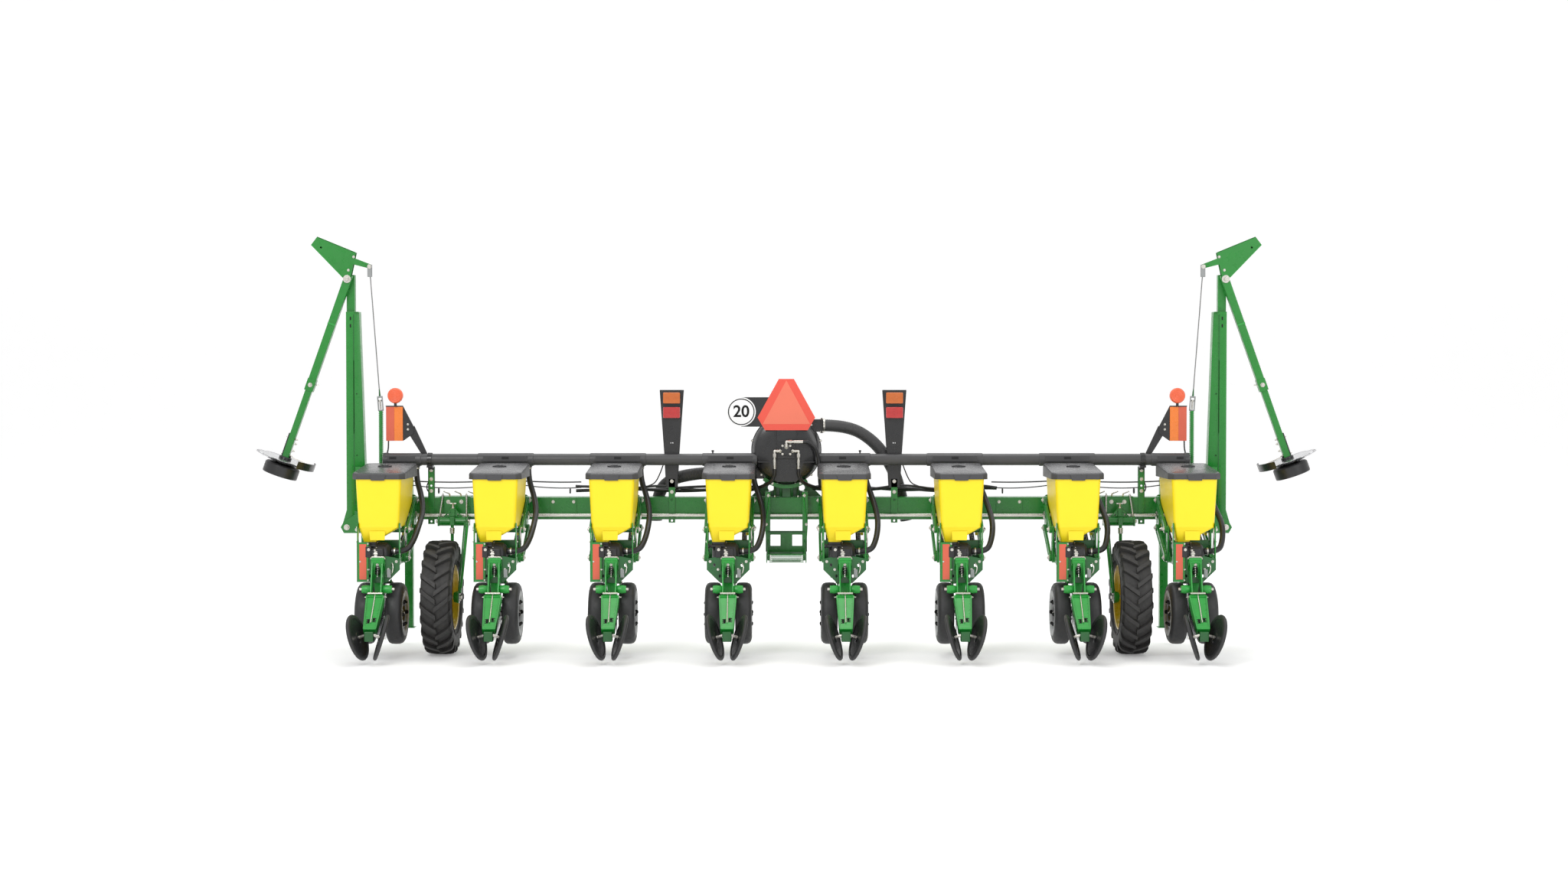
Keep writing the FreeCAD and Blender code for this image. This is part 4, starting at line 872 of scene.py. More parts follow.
def lid_cover():
    """The lid: dark skirt, crowned top, rear grip and a plain oval boss."""
    def level(y, drop):
        t = max(0.0, min(1.0, (y + 240) / 574.5))
        return 567 + 50 * t ** 0.8 - drop

    def layer(inset, drop, z=None):
        return [(x, y, level(y, drop) if z is None else z) for x, y in lid_outline(inset)]
    f = Form()
    inner = [layer(14, 18), layer(6, 22), layer(5, 0, 530)]
    f.loft(inner + [layer(0, 0, 529), layer(0, 12), layer(3, 4), layer(9, 1)], "lid_dark", 2)
    crown = [layer(3, 5), layer(8, 0.5), layer(16, -1)]
    for inset, rise in ((30, 2), (60, 5), (95, 7.5), (130, 9)):
        crown.append(layer(inset, -rise))
    f.loft(crown, "lid", 0)
    f.loft([quad(-44, 44, -243, -236, 522), quad(-54, 54, -247, -236, 560)], "lid_dark", 2.5)
    tilt = Matrix.Translation((0, 40, 608)) @ Matrix.Rotation(math.radians(5.0), 4, "X")
    badge = Form()
    badge.plate("z", ring(0, 0, 46, 0.62, 40), -4, 1.0, "lid_dark", (), 1)
    badge.plate("z", ring(0, 0, 46, 0.62, 40), -4, 3.0, "lid", [ring(0, 0, 41, 0.58, 40)], 0.8)
    # Three dark slots on the boss: painted shade.
    for k in (-1, 0, 1):
        badge.box(-26 + 4 * abs(k), 26 - 4 * abs(k), k * 11 - 2.4, k * 11 + 2.4, 0, 2.4, "hole", 0.6)
    return f.join(badge, tilt)


def build_rows():
    """Every row's pieces, from meshes that the rows share."""
    base = {
        "weldment": (weldment().mesh("weldment"), "green_paint"),
        "fittings": (row_hardware().mesh("fittings"), "zinc"),
        "opener_discs": (opener_discs().mesh("opener_discs"), "disc_steel"),
        "gauge_wheels": (gauge_wheels().mesh("gauge_wheels"), "black_rubber"),
        "closing_wheels": (closing_wheels().mesh("closing_wheels"), "black_rubber"),
        "closing_arm": (closing_arm().mesh("closing_arm"), "green_paint"),
        "seed_meter": (seed_meter().mesh("seed_meter"), "black_paint"),
    }
    plate = reflector().mesh("reflector")
    shell, cover = hopper_shell().mesh("hopper"), lid_cover().mesh("lid")
    drop = Matrix.Rotation(LINK_DROP, 4, "X")
    upper = Form().join(link_pair(False), drop).mesh("upper_links")
    lower = Form().join(link_pair(True), drop).mesh("lower_links")
    for row, x in enumerate(ROW_X, 1):
        name, at = "row%d_" % row, (x, UNIT_Y, UNIT_Z)
        unit = name + "unit"
        for tag, (mesh, slot) in base.items():
            piece(name + tag, mesh, unit, name + "frame", slot=slot, at=at)
        if row not in (4, 5):
            piece(name + "reflector", plate, unit, name + "frame", slot="sign_red", at=at)
        piece(name + "hopper_shell", shell, unit, name + "hopper", slot="yellow_poly", at=at)
        piece(name + "lid_cover", cover, name + "lid", name + "lid", slot="lid_plastic", at=at)
        for mesh, tag, z in ((upper, "upper", UPPER_Z), (lower, "lower", LOWER_Z)):
            piece(name + tag + "_links", mesh, name + tag + "_arms", name + tag + "_arms",
                  slot="green_paint", at=(x, PIVOT_Y, z))


build_rows()


# ---- toolbar, heads, hitch, stands and step

MARKER_X, MARKER_BASE_Z = BAR_HALF + 168.0, BAR_Z - 130.0
WHEEL_PIVOT_X, WHEEL_PIVOT_Z = WHEEL_X - 26.0, BAR_Z - 84.0


def marker_hinge(f):
    """Right end plate of the bar, with the ears and the pin of the marker."""
    f.box(BAR_HALF, BAR_HALF + 16, BAR_REAR, BAR_FRONT, MARKER_BASE_Z - 40, BAR_TOP, "green", 2)
    ear = [(BAR_HALF, -25), (MARKER_X + 20, -25), (MARKER_X + 42, 15), (MARKER_X + 20, 55),
           (BAR_HALF, 175)]
    for y in (-368, -244):
        f.plate("y", ear, y, y + 12, "green", [ring(BAR_HALF + 60, 60, 13)], 2)
    f.rod((MARKER_X, -380, 15), (MARKER_X, -220, 15), 14, "zinc", 2)
    f.bolt((MARKER_X, -369, 15), BACK, 26)
    for x, z in ((BAR_HALF + 40, 0), (BAR_HALF + 100, -2)):
        f.bolt((x, -368, z), BACK, 16)


def wheel_bracket(f):
    """Bracket of the right drive wheel's arm, with its screw, rod and cable hooks."""
    b = WHEEL_PIVOT_X
    back = [(b - 104, 28), (b + 104, 28), (b + 104, BAR_TOP), (b - 104, BAR_TOP)]
    f.plate("y", back, BAR_REAR - 6, BAR_REAR, "green", [ring(b - 70, 46, 9), ring(b + 70, 46, 9)])
    f.box(b - 104, b + 104, BAR_REAR - 6, BAR_FRONT, BAR_TOP, BAR_TOP + 6, "green", 1.5)
    cheek = [(-382, 108), (-382, 28), (-495, 31), (-498, 78), (-470, 96)]
    for s in (-1, 1):
        f.plate("x", cheek, b + s * 96 - 6, b + s * 96 + 6, "green",
                [ring(SHAFT_Y, SHAFT_Z - 36, 8)], 1.5)
        f.rod((b + s * 80, -386, 240), (b + s * 92, -470, 92), 6, "zinc", 1)
        f.bolt((b + s * 80, -386, 230), (0, 0.3, 1), 14, 8)
        f.bolt((b + s * 104, PIVOT_Y, WHEEL_PIVOT_Z), (s, 0, 0), 20)
    f.rod((b - 108, PIVOT_Y, WHEEL_PIVOT_Z), (b + 108, PIVOT_Y, WHEEL_PIVOT_Z), 15, "zinc", 2)
    f.plate("y", [(b - 66, 93), (b + 66, 93), (b + 18, 146), (b - 18, 146)], -474, -466, "green",
            [ring(b - 34, 106, 6), ring(b + 34, 106, 6)], 2)
    f.box(b - 14, b + 14, -486, -454, 92, 150, "green", 3)
    f.rod((b, -470, 146), (b, -470, 186), 8, "zinc", 1)
    f.bolt((b, -470, 150), UP, 18)
    f.rod((b - 22, -470, 182), (b + 22, -470, 182), 5, "zinc", 1)
    f.rod((b, -508, 60), (b, -512, -112), 11, "green", 2)
    f.rod((b, -508, 20), (b, -510, -20), 17, "zinc", 2)
    f.box(b - 16, b + 16, -522, -500, 36, 92, "green", 3)
    for dx, z in ((-44, 190), (44, 190)):
        f.bolt((b + dx, -382, z), BACK, 18, 6)
    for dx in (-132, -40, 36):
        f.sweep(smooth_line([(b + dx, -372, 226), (b + dx, -372, 240), (b + dx + 12, -374, 250),
                             (b + dx + 42, -376, 262)]), 5, "zinc", 8)


def toolbar():
    """The square bar with both of its sides and the plates at its joints."""
    f = Form().box(-BAR_HALF, BAR_HALF, BAR_REAR, BAR_FRONT, BAR_BOTTOM, BAR_TOP, "green", 7)
    side = Form()
    marker_hinge(side)
    wheel_bracket(side)
    f.both(side)
    for x in (-1520, 1520):
        f.box(x - 90, x + 90, BAR_REAR - 5, BAR_REAR, BAR_BOTTOM + 4, BAR_TOP - 4, "green", 1.5)
        for dx in (-70, 70):
            for z in (100, 190):
                f.bolt((x + dx, BAR_REAR - 5, z), BACK, 14, 4)
    return piece("toolbar_beam", f, "root", "toolbar", slot="green_paint")


def row_head():
    """Bracket of one linkage, with its bearing on the drive shaft and its small gearcase."""
    f = Form()
    back = rounded(-146, 146, -18, 240, 18, 3)
    f.plate("y", back, BAR_REAR - 12, BAR_REAR, "green", [ring(x, 110, 14) for x in (-60, 60)], 2)
    side = Form()
    ear = [(-388, -10), (-480, -10), (-494, 4), (-494, 218), (-480, 232), (-388, 232)]
    side.plate("x", ear, 134, 146, "green", [ring(-440, 60, 11), ring(-440, 160, 11)], 2)
    for z in (17, 205):
        link_pin(side, 134, PIVOT_Y, z)
    side.turn([(-6, 11.2), (-6, 26), (2, 28), (8, 20), (8, 11.2)], "zinc", (150, SHAFT_Y, SHAFT_Z),
              sides=28, bevel=0.8)
    for z in (8, 216):
        side.bolt((112, BAR_REAR - 12, z), BACK, 18, 10)
        side.rod((112, BAR_REAR, z if z > 100 else 60), (112, BAR_REAR - 12, z), 8, "zinc")
    f.both(side)
    f.loft([rect_ring(38, 78, -458, -392, 52), rect_ring(34, 82, -462, -392, 90),
            rect_ring(34, 82, -462, -392, 128), rect_ring(44, 72, -450, -394, 150)], "black", 4)
    f.bolt((58, -462, 108), BACK, 12)
    f.sweep(smooth_line([(96, -392, 228), (104, -420, 236), (118, -452, 214), (120, -470, 160)]), 5,
            "hose", 8)
    return f.mesh("row_head")


def hitch():
    """Mast, top link ears, braces and the two lower pins."""
    f = Form()
    ear = [(BAR_FRONT, BAR_TOP), (BAR_FRONT - 60, BAR_TOP), (-60, 510), (-40, 605), (-20, 612),
           (20, 612), (40, 605), (45, 515)]
    side = Form()
    side.plate("x", ear, 30, 46, "green", [ring(0, 560, 16), ring(-110, 380, 22)], 2)
    side.turn([(-3, 16.2), (-3, 30), (3, 30), (3, 16.2)], "green", (49, 0, 560), sides=28, bevel=1)
    lug = [(BAR_FRONT, BAR_TOP), (BAR_FRONT, BAR_BOTTOM), (0, -45), (30, -38), (45, -20), (45, 20),
           (20, 45)]
    side.plate("x", lug, 442.5, 482.5, "green", [ring(-130, 100, 20)], 3)
    side.plate("x", [(BAR_FRONT, BAR_TOP + 2), (BAR_FRONT - 90, BAR_TOP + 2), (-190, 300)], 400,
               412, "green")
    side.rod((482.5, 0, 0), (542.5, 0, 0), 18.2, "zinc", 4, 28)
    side.rod((470, 0, 0), (484, 0, 0), 30, "zinc", 2, 28)
    side.rod((528, 0, -24), (528, 0, 24), 4, "zinc", 0.8)
    side.plate("y", [(46, BAR_TOP), (240, BAR_TOP), (46, 420)], -230, -224, "green",
               [ring(105, 280, 22)])
    f.both(side)
    f.box(-30, 30, BAR_FRONT - 55, BAR_FRONT - 5, BAR_TOP, BAR_TOP + 60, "green", 2)
    return piece("hitch_mast", f, "root", "hitch_frame", slot="green_paint")


def parking_stands():
    """Two square posts in front of the bar, each with its feet, holes and pin."""
    side, x = Form(), ROW_X[-1] - 64
    y0 = BAR_FRONT + 12
    post = rounded(x - 28.5, x + 28.5, y0, y0 + 57, 5, 3)
    core = rounded(x - 23.5, x + 23.5, y0 + 5, y0 + 52, 3, 3)
    side.plate("z", post, BAR_TOP - 905, BAR_TOP + 120, "green", [core], 0.8)
    # Dark discs through the post: painted shade in its holes.
    for k in range(5):
        side.rod((x, y0 - 0.6, 300 - 34 * k), (x, y0 + 57.6, 300 - 34 * k), 7, "hole", 0.5)
    side.box(x - 40.5, x + 40.5, y0 - 12, y0 + 69, BAR_TOP - 911, BAR_TOP - 905, "green", 2)
    side.box(x - 38, x + 38, BAR_FRONT, y0, BAR_BOTTOM + 10, BAR_TOP - 10, "green", 2)
    side.rod((x - 50, y0 + 28, 170), (x + 50, y0 + 28, 170), 9, "zinc", 1.5)
    side.sweep(smooth_line([(x + 50, y0 + 28, 170), (x + 58, y0 + 40, 160), (x + 56, y0 + 70, 150)]),
               3, "zinc", 8)
    piece("parking_stands", Form().both(side), "root", "stands_and_step", slot="green_paint")


def boarding_step():
    """Rails, windowed back plate and ribbed tread behind the middle of the bar."""
    f, rail, y1 = Form(), Form(), SHAFT_Y - 23
    outline = [(109, 261), (145, 261), (145, 20), (128, -206), (112, -206), (109, 0)]
    rail.plate("y", outline, y1 - 8, y1, "green", [ring(127, 236, 8)], 1.2)
    rail.box(109, 145, y1, BAR_REAR, 215, 261, "green", 1.5)
    rail.box(109, 145, BAR_REAR, BAR_FRONT, BAR_TOP, 261, "green", 1.5)
    # The brace in the lighter green: painted light.
    rail.rod((112, y1 - 10, 258), (138, y1 - 16, 52), 5, "lime", 1, 12)
    for x, z, size in ((120, 236, 15), (136, 40, 12)):
        rail.bolt((x, y1 - 8, z), BACK, size, 4)
    rail.plate("x", [(y1, -146), (y1, -60), (y1 - 205, -146)], 121, 127, "green")
    f.both(rail)
    windows = [rounded(s * 74 - 34, s * 74 + 34, -106, -30, 3, 2) for s in (-1, 1)]
    f.plate("y", [(-140, -146), (140, -146), (140, -6), (-140, -6)], y1 - 6, y1 - 1, "green",
            windows, 0.8)
    # A strip of the darker green: painted shade.
    f.box(-126, 126, y1 - 14, y1 - 2, -14, -4, "dark_green", 1.5)
    for k in range(5):
        z = -152 - 11 * k
        f.box(-128 + 3 * k, 128 - 3 * k, y1 - 220, y1 - 215 + 2 * k, z - 6, z, "green", 1.2)
    f.box(-130, 130, y1 - 216, y1 - 1, -152, -147, "green", 1)
    for s in (-1, 1):
        f.box(s * 132 - 3, s * 132 + 3, y1 - 220, y1, -206, -146, "green", 1.2)
        for k in range(3):
            f.rod((s * 106, y1 - 222, -156 - 11 * k), (s * 106, y1 - 214, -156 - 11 * k), 4,
                  "white", 0.5, 12)
    # Tread ribs in the darker green: painted shade.
    for k in range(6):
        y = y1 - 30 - 32 * k
        f.box(-116, 116, y - 5, y + 5, -148, -144, "dark_green", 1.5)
    f.box(-96, 96, y1 - 200, y1 - 20, -204, -196, "green", 1.5)
    piece("boarding_step", f, "root", "stands_and_step", slot="green_paint")


# ---- vacuum system

def vacuum_pipe():
    """The pipe with its end caps and, at each row, a tee and a spigot."""
    f, inner, end = Form(), FAN_R - 34.0, ROW_X[-1] + 70.0
    f.turn([(inner, 0), (inner, 39), (end - 6, 39), (end, 33), (end, 0)], "pipe",
           (0, PIPE_Y, PIPE_Z), sides=40, bevel=1)
    tee_face = PIPE_Y - 44
    for x in ROW_X[4:]:
        a, b = max(x - 191, inner), min(x + 191, end)
        f.turn([(a, 36), (a + 2, 42), (a + 9, 44), (b - 9, 44), (b - 2, 42), (b, 36)], "pipe",
               (0, PIPE_Y, PIPE_Z), sides=40)
        f.box(max(a + 14, x - 150), min(b - 12, x + 150), tee_face - 1.5, tee_face + 9, PIPE_Z - 12,
              PIPE_Z + 27, "pipe", 2)
        # Two dark slots on each tee's face: painted shade.
        for dz in (7, 17):
            f.box(x - 24, x + 24, tee_face - 2.2, tee_face + 4, PIPE_Z + dz - 3, PIPE_Z + dz + 3,
                  "hole", 0.8)
    f.turn([(end - 34, 39), (end - 34, 47), (end - 26, 48), (end - 2, 46), (end, 38)], "pipe",
           (0, PIPE_Y, PIPE_Z), sides=40, bevel=1)
    for z0, z1, r, bevel in ((30, 54, 5, 1), (52, 64, 9, 2)):      # a small capped port
        f.rod((500, PIPE_Y, PIPE_Z + z0), (500, PIPE_Y, PIPE_Z + z1), r, "black", bevel, 12)
    whole = Form().both(f)
    for x in ROW_X:
        whole.turn([(0, 19.2), (0, 25), (-22, 28), (-22, 19.2)], "pipe",
                   (x + 153, PIPE_Y, PIPE_Z - 52), (0, 0, -1), 28, 1)
        whole.turn([(-2, 19.2), (-2, 24), (8, 24), (8, 19.2)], "zinc",
                   (x + 153, PIPE_Y, PIPE_Z - 56), (0, 0, -1), 28, 0.8)
    piece("vacuum_pipe", whole, "root", "vacuum_manifold", slot="pipe_plastic")


def pipe_posts():
    """The two posts that carry the pipe, with their shelves and clamps."""
    post, x = Form(), WHEEL_X + 134
    post.plate("y", [(x - 22, 38), (x + 22, 38), (x + 22, 430), (x - 22, 430)], BAR_REAR - 6,
               BAR_REAR, "green", [ring(x, z, 7) for z in (56, 300)], 1)
    for s in (-1, 1):
        post.box(x + s * 20 - 2, x + s * 20 + 2, BAR_REAR - 6, BAR_REAR + 24, 222, 430, "green", 1)
    for z in (264, 345, 405):
        post.bolt((x, BAR_REAR - 6, z), BACK, 16, 3)
    post.box(x - 21, x + 21, PIPE_Y - 24, BAR_REAR - 6, PIPE_Z - 55, PIPE_Z - 39, "black", 2)
    post.box(x - 20, x + 20, BAR_REAR - 12, BAR_REAR - 6, 408, PIPE_Z - 30, "black", 1.5)
    post.turn([(-14, 44.5), (-14, 47), (14, 47), (14, 44.5)], "black", (x, PIPE_Y, PIPE_Z),
              sides=36, bevel=0.5)
    piece("pipe_posts", Form().both(post), "root", "vacuum_manifold", slot="green_paint")


def elbow(f, port, turn, run, end, r=9.0):
    """A bright hydraulic elbow: union nut, bend and long crimped ferrule."""
    port, turn, run, end = (Vector(p) for p in (port, turn, run, end))
    f.rod(port + Vector((0, 26, 0)), port, 13, "zinc", 1.5, 6)
    f.sweep(smooth_line([port + Vector((0, 10, 0)), port, port.lerp(turn, 0.6), turn,
                         turn.lerp(run, 0.3), run], 6), r, "zinc", 14)
    f.rod(port.lerp(turn, 0.25), port.lerp(turn, 0.62), 13, "zinc", 1.5, 6)
    f.rod(turn.lerp(run, 0.3), turn.lerp(run, 0.75), 13, "zinc", 1.5, 6)
    f.rod(run, end, 11.5, "zinc", 2, 20)


def fan_shell(f):
    """The round housing, bolted at its seam, with its rear ribs and motor."""
    centre = (0, FAN_REAR, FAN_Z)
    f.turn([(1, 0), (1.2, 120), (7, 178), (20, 212), (44, 229), (70, 232), (84, 232), (84, 239),
            (94, 239), (94, 232), (176, 230), (192, 222), (200, 196), (200, 0)], "black", centre,
           AHEAD, 96, 1.2)
    for k in range(12):
        a = math.radians(15 + 30 * k)
        x, z = 240 * math.cos(a), FAN_Z + 240 * math.sin(a)
        f.rod((x, FAN_REAR + 74, z), (x, FAN_REAR + 104, z), 9, "black", 2, 12)
        f.bolt((x, FAN_REAR + 74, z), BACK, 9)
    for x in (-71, 78):
        f.box(x - 3, x + 3, FAN_REAR - 3, FAN_REAR + 12, 590, 700, "black", 1)
    f.box(-52, 62, FAN_REAR - 2.5, FAN_REAR + 6, 632, 668, "black", 1.5)
    for s in (-1, 1):
        f.plate("y", [(s * 56, 468), (s * 196, 468), (s * 190, 460), (s * 56, 460)], FAN_REAR - 3,
                FAN_REAR + 26, "black", (), 2)
    f.plate("y", [(-64, 486), (60, 486), (92, 352), (66, 330), (-66, 330), (-92, 352)],
            FAN_REAR - 7, FAN_REAR + 8, "black", (), 4)
    f.box(-64, 62, FAN_REAR - 5, FAN_REAR + 4, 486, 600, "black", 6)
    f.loft([quad(-34, 34, -520, -484, z) for z in (512, 584)], "black", 8)
    f.rod((0, -524, 548), (0, -484, 548), 30, "black", 5, 28)
    for dx, dz in ((-26, -28), (26, -28), (26, 28), (-26, 28)):
        f.bolt((dx, -520, 548 + dz), BACK, 10)


def fan_mouths(f):
    """The two flanged outlets that the air ducts leave from."""
    for x0, z0, s in ((150, 665, 1), (-250, 345, -1)):
        mouth = x0 + 100 if s > 0 else x0
        yy = BAR_REAR + 41
        f.box(x0, x0 + 100, yy - 43, yy + 43, z0 + 2, z0 + 88, "black", 6)
        f.box(mouth - 9 * s - 5, mouth - 9 * s + 5, yy - 52, yy + 52, z0 - 7, z0 + 97, "black", 3)
        for a in (-1, 1):
            for b in (-1, 1):
                f.bolt((mouth - 14 * s, yy + 44 * a, z0 + 45 + 44 * b), (-s, 0, 0), 11)
                f.bolt((mouth - 4 * s, yy + 44 * a, z0 + 45 + 44 * b), (s, 0, 0), 11)
        f.turn([(2, 42.4), (2, 47), (14, 47), (14, 42.4)], "zinc", (mouth, yy, z0 + 45), (s, 0, 0),
               40, 1)


def fan_plumbing(f):
    """Three bright elbows on the motor, and the hoses they feed."""
    elbow(f, (0, -530, 566), (0, -530, 603), (50, -530, 603), (118, -530, 603))
    elbow(f, (-42, -530, 540), (-80, -530, 540), (-80, -530, 482), (-80, -530, 414))
    elbow(f, (44, -530, 540), (82, -530, 540), (82, -530, 482), (82, -530, 414))
    runs = (((112, -530, 603), (150, -530, 600), (196, -520, 560), (216, -505, 490),
             (224, -490, 400), (230, -420, 312), (250, -350, 268)),
            ((-80, -530, 420), (-82, -528, 380), (-104, -512, 334), (-160, -470, 300),
             (-230, -400, 276), (-330, -340, 262)),
            ((82, -530, 420), (84, -528, 380), (106, -512, 336), (160, -470, 304),
             (230, -400, 282), (330, -340, 266)))
    for run in runs:
        f.sweep(smooth_line(run, 10), 12.5, "hose", 14)


def fan_cradle():
    """The curved saddle under the fan, on its foot and rods."""
    saddle = arc(0, FAN_Z, 236, range(-128, -51, 6)) + arc(0, FAN_Z, 262, range(-56, -129, -6))
    c = Form().plate("y", saddle, BAR_REAR - 54, BAR_REAR + 76, "green", (), 2)
    # Foot and rods in the darker green: painted shade under the fan.
    c.box(-29, 29, BAR_REAR - 4, BAR_REAR + 60, BAR_TOP, 296, "dark_green", 3)
    for s in (-1, 1):
        c.rod((s * 80, BAR_REAR + 20, BAR_TOP), (s * 80, BAR_REAR + 20, 306), 7, "dark_green", 1)
        c.bolt((s * 80, BAR_REAR + 20, BAR_TOP), UP, 16)
        c.bolt((s * 96, BAR_REAR - 54, 318), BACK, 12)
    piece("fan_cradle", c, "root", "fan_assembly", slot="green_paint")


def fan():
    """Both pieces of the fan."""
    f = Form()
    for part in (fan_shell, fan_mouths, fan_plumbing):
        part(f)
    piece("fan_housing", f, "root", "fan_assembly", slot="black_paint")
    fan_cradle()


def harness():
    """Hydraulic hoses and cables tied along the top of the toolbar."""
    f = Form()
    runs = ((-1, 8, -330, 262, 26, 3.1), (-1, 11, -300, 250, 14, 2.3), (1, 11, -310, 252, 18, 2.7),
            (1, 8, -336, 268, 24, 3.5), (-1, 9, -278, 262, 20, 1.9), (1, 9, -270, 256, 22, 2.1))
    for s, r, y, z, swing, rate in runs:
        line = [(s * x, y + 9 * math.sin(x * 0.004 * rate),
                 z + r + swing * (0.5 + 0.5 * math.sin(x * 0.0036 * rate + z)))
                for x in range(180, 1500, 90)]
        f.sweep(smooth_line(line, 5), r, "hose", 10)
    for s in (-1, 1):
        for k, (y, z, sag) in enumerate(((-350, 338, 22), (-346, 322, 40))):
            line = []
            for x in range(1400, 2620, 60):
                t = ((x - 1.5 * ROW_SPACING) % ROW_SPACING) / ROW_SPACING
                line.append((s * x, y, z - sag * 4 * t * (1 - t) * (0.7 + 0.3 * k)))
            f.sweep(smooth_line(line, 4), 4.5 - k, "hose", 8)
        f.sweep(smooth_line([(s * 2440, -350, 330), (s * 2452, -360, 300), (s * 2448, -366, 268),
                             (s * 2420, -362, 240)]), 4, "hose", 8)
        for x in (420, 760, 1100, 1480, 2380):
            f.turn([(-4, 17), (-4, 20), (4, 20), (4, 17)], "black", (s * x, -305, 262), sides=20)
    for x, lean in ((-700, -1), (655, 1)):
        f.sweep(smooth_line([(x + 90 * lean, -384, 600), (x + 130 * lean, -360, 470),
                             (x + 190 * lean, -340, 330), (x + 260 * lean, -330, 290)]), 4, "hose", 8)
    piece("hose_harness", f, "root", slot="black_rubber")


# ---- lamps, reflectors and signs

def lens(f, x0, x1, z0, z1, look, y=-390):
    """A lamp's lens with raised ribs, on its black base."""
    f.plate("y", rounded(x0 - 5, x1 + 5, z0 - 5, z1 + 5, 9, 4), y - 8, y, "black", (), 1.5)
    f.plate("y", rounded(x0, x1, z0, z1, 8, 4), y - 40, y - 6, look, (), 6)
    mid = (z0 + z1) / 2
    for k in range(-4, 5):
        f.box((x0 + x1) / 2 + k * 11 - 1.2, (x0 + x1) / 2 + k * 11 + 1.2, y - 41, y - 36, mid - 7,
              mid + 7, look, 0.8)
    f.rod(((x0 + x1) / 2, y - 42, mid), ((x0 + x1) / 2, y - 38, mid), 15, look, 2, 24)


def tail_lamps(f):
    """Two tapered brackets, each with an amber lamp over a red one."""
    for x in (-780, 735):
        plate = [(x - 82, 953), (x + 82, 953), (x + 52, 523), (x + 40, 288), (x - 40, 288),
                 (x - 52, 523)]
        f.plate("y", plate, -390, -382, "black", [ring(x - 7, 592, 3.5), ring(x + 7, 592, 3.5)], 1.5)
        for s in (-1, 1):
            f.loft([quad(x + s * (w - 4), x + s * w, -390, -366, z)
                    for w, z in ((82, 948), (52, 523), (40, 290))], "black", 0.8)
        lens(f, x - 58, x + 58, 860, 936, "amber_lens")
        lens(f, x - 58, x + 58, 761, 837, "red_lens")
        f.plate("y", [(x - 22, 48), (x + 22, 48), (x + 22, 348), (x - 22, 348)], -390, -376, "green",
                [ring(x, 62, 8), ring(x, 206, 8)], 1.5)
        for z in (258, 330):
            f.bolt((x, -390, z), BACK, 16, 3)


def end_beacon():
    """Two-colour reflector and round beacon at the right end of the pipe."""
    side, edge = Form(), ROW_X[-1] + 2.0
    y, low, high = PIPE_Y + 45, BAR_Z + 461, BAR_Z + 693
    side.box(edge, edge + 56, y - 8, y, low, high, "strip", 1.2)
    side.box(edge - 58, edge, y - 8, y, low, high, "bright_orange", 1.2)
    side.box(edge - 60, edge + 58, y - 9, y + 3, high, high + 8, "black", 1)
    gusset = [(edge - 60, low), (edge + 56, low), (edge + 56, high + 4), (edge - 60, high + 4),
              (edge - 131, (low + high) / 2 - 18), (edge - 131, (low + high) / 2 - 66)]
    side.plate("y", gusset, y, y + 6, "black", [ring(edge - 92, z, 4) for z in (low + 78, low + 112)])
    side.plate("y", [(edge - 134, low + 104), (edge - 98, low + 44), (edge - 215, PIPE_Z - 20),
                     (edge - 250, PIPE_Z - 20)], y + 6, y + 12, "black")
    for z in (low + 78, low + 112):
        side.bolt((edge - 92, y, z), BACK, 10)
    b = (edge - 11, y - 22, high + 76)
    side.turn([(-22, 0), (-22, 44), (-17, 50), (-8, 53), (8, 53), (17, 50), (22, 44), (22, 0)],
              "beacon", b, AHEAD, 48, 1)
    for k in range(3):
        side.turn([(-23, 10 + 14 * k), (-24, 13 + 14 * k), (-23, 16 + 14 * k), (-20, 13 + 14 * k)],
                  "beacon", b, AHEAD, 48)
    side.box(edge - 20, edge - 2, y - 30, y - 12, high + 4, high + 30, "black", 2)
    side.sweep(smooth_line([(edge + 40, y - 4, low), (edge + 44, y, low - 60),
                            (edge + 62, y, low - 120)]), 5, "hose", 8)
    return side


def emblem_and_sign(f):
    """The slow-moving-vehicle emblem, and the round speed sign beside it."""
    border = [(-145, 680), (145, 680), (195, 766), (51, 1028), (-51, 1028), (-195, 766)]
    f.plate("y", border, -488, -484, "red", (), 0.8)
    f.plate("y", [(-160, 722), (160, 722), (0, 1018)], -489, -487, "orange", (), 0.3)
    f.plate("y", rounded(-310, 120, 704, 904, 8, 3), -484, -480, "black", (), 0.8)
    f.box(-64, 64, -484, -480, 600, 706, "black", 1)
    c = (-305, -484, 805)
    f.turn([(0, 0), (0, 95), (-1, 98), (-3.4, 98), (-4, 96), (-4, 0)], "white", c, AHEAD, 72)
    f.turn([(-4.6, 83), (-4.6, 90), (-3.6, 90), (-3.6, 83)], "hole", c, AHEAD, 72)


def speed_number():
    """The numeral on the speed sign."""
    text = bpy.data.curves.new("speed_number", "FONT")
    text.body, text.size, text.extrude, text.align_x = "20", 0.110, 0.0006, "CENTER"
    text.offset = 0.0022
    number = bpy.data.objects.new("speed_text", text)
    scene.collection.objects.link(number)
    mesh = bpy.data.meshes.new_from_object(number)
    bpy.data.objects.remove(number)
    mesh.materials.clear()
    mesh.materials.append(LOOK["hole"])
    mesh.transform(Matrix.Translation((-0.305, -0.4885, 0.772)) @ Matrix.Rotation(math.pi / 2, 4, "X"))
    piece("speed_number", mesh, "root", "lights_and_signs", slot="black_paint")


def lamps_and_signs():
    """Everything on the lights and signs node."""
    f = Form()
    tail_lamps(f)
    f.both(end_beacon())
    emblem_and_sign(f)
    piece("lamps_and_signs", f, "root", "lights_and_signs", slot="sign_red")
    speed_number()


# ---- drive wheels

AXLE_Y, AXLE_Z = PIVOT_Y - 340.0, WHEEL_PIVOT_Z - 483.0


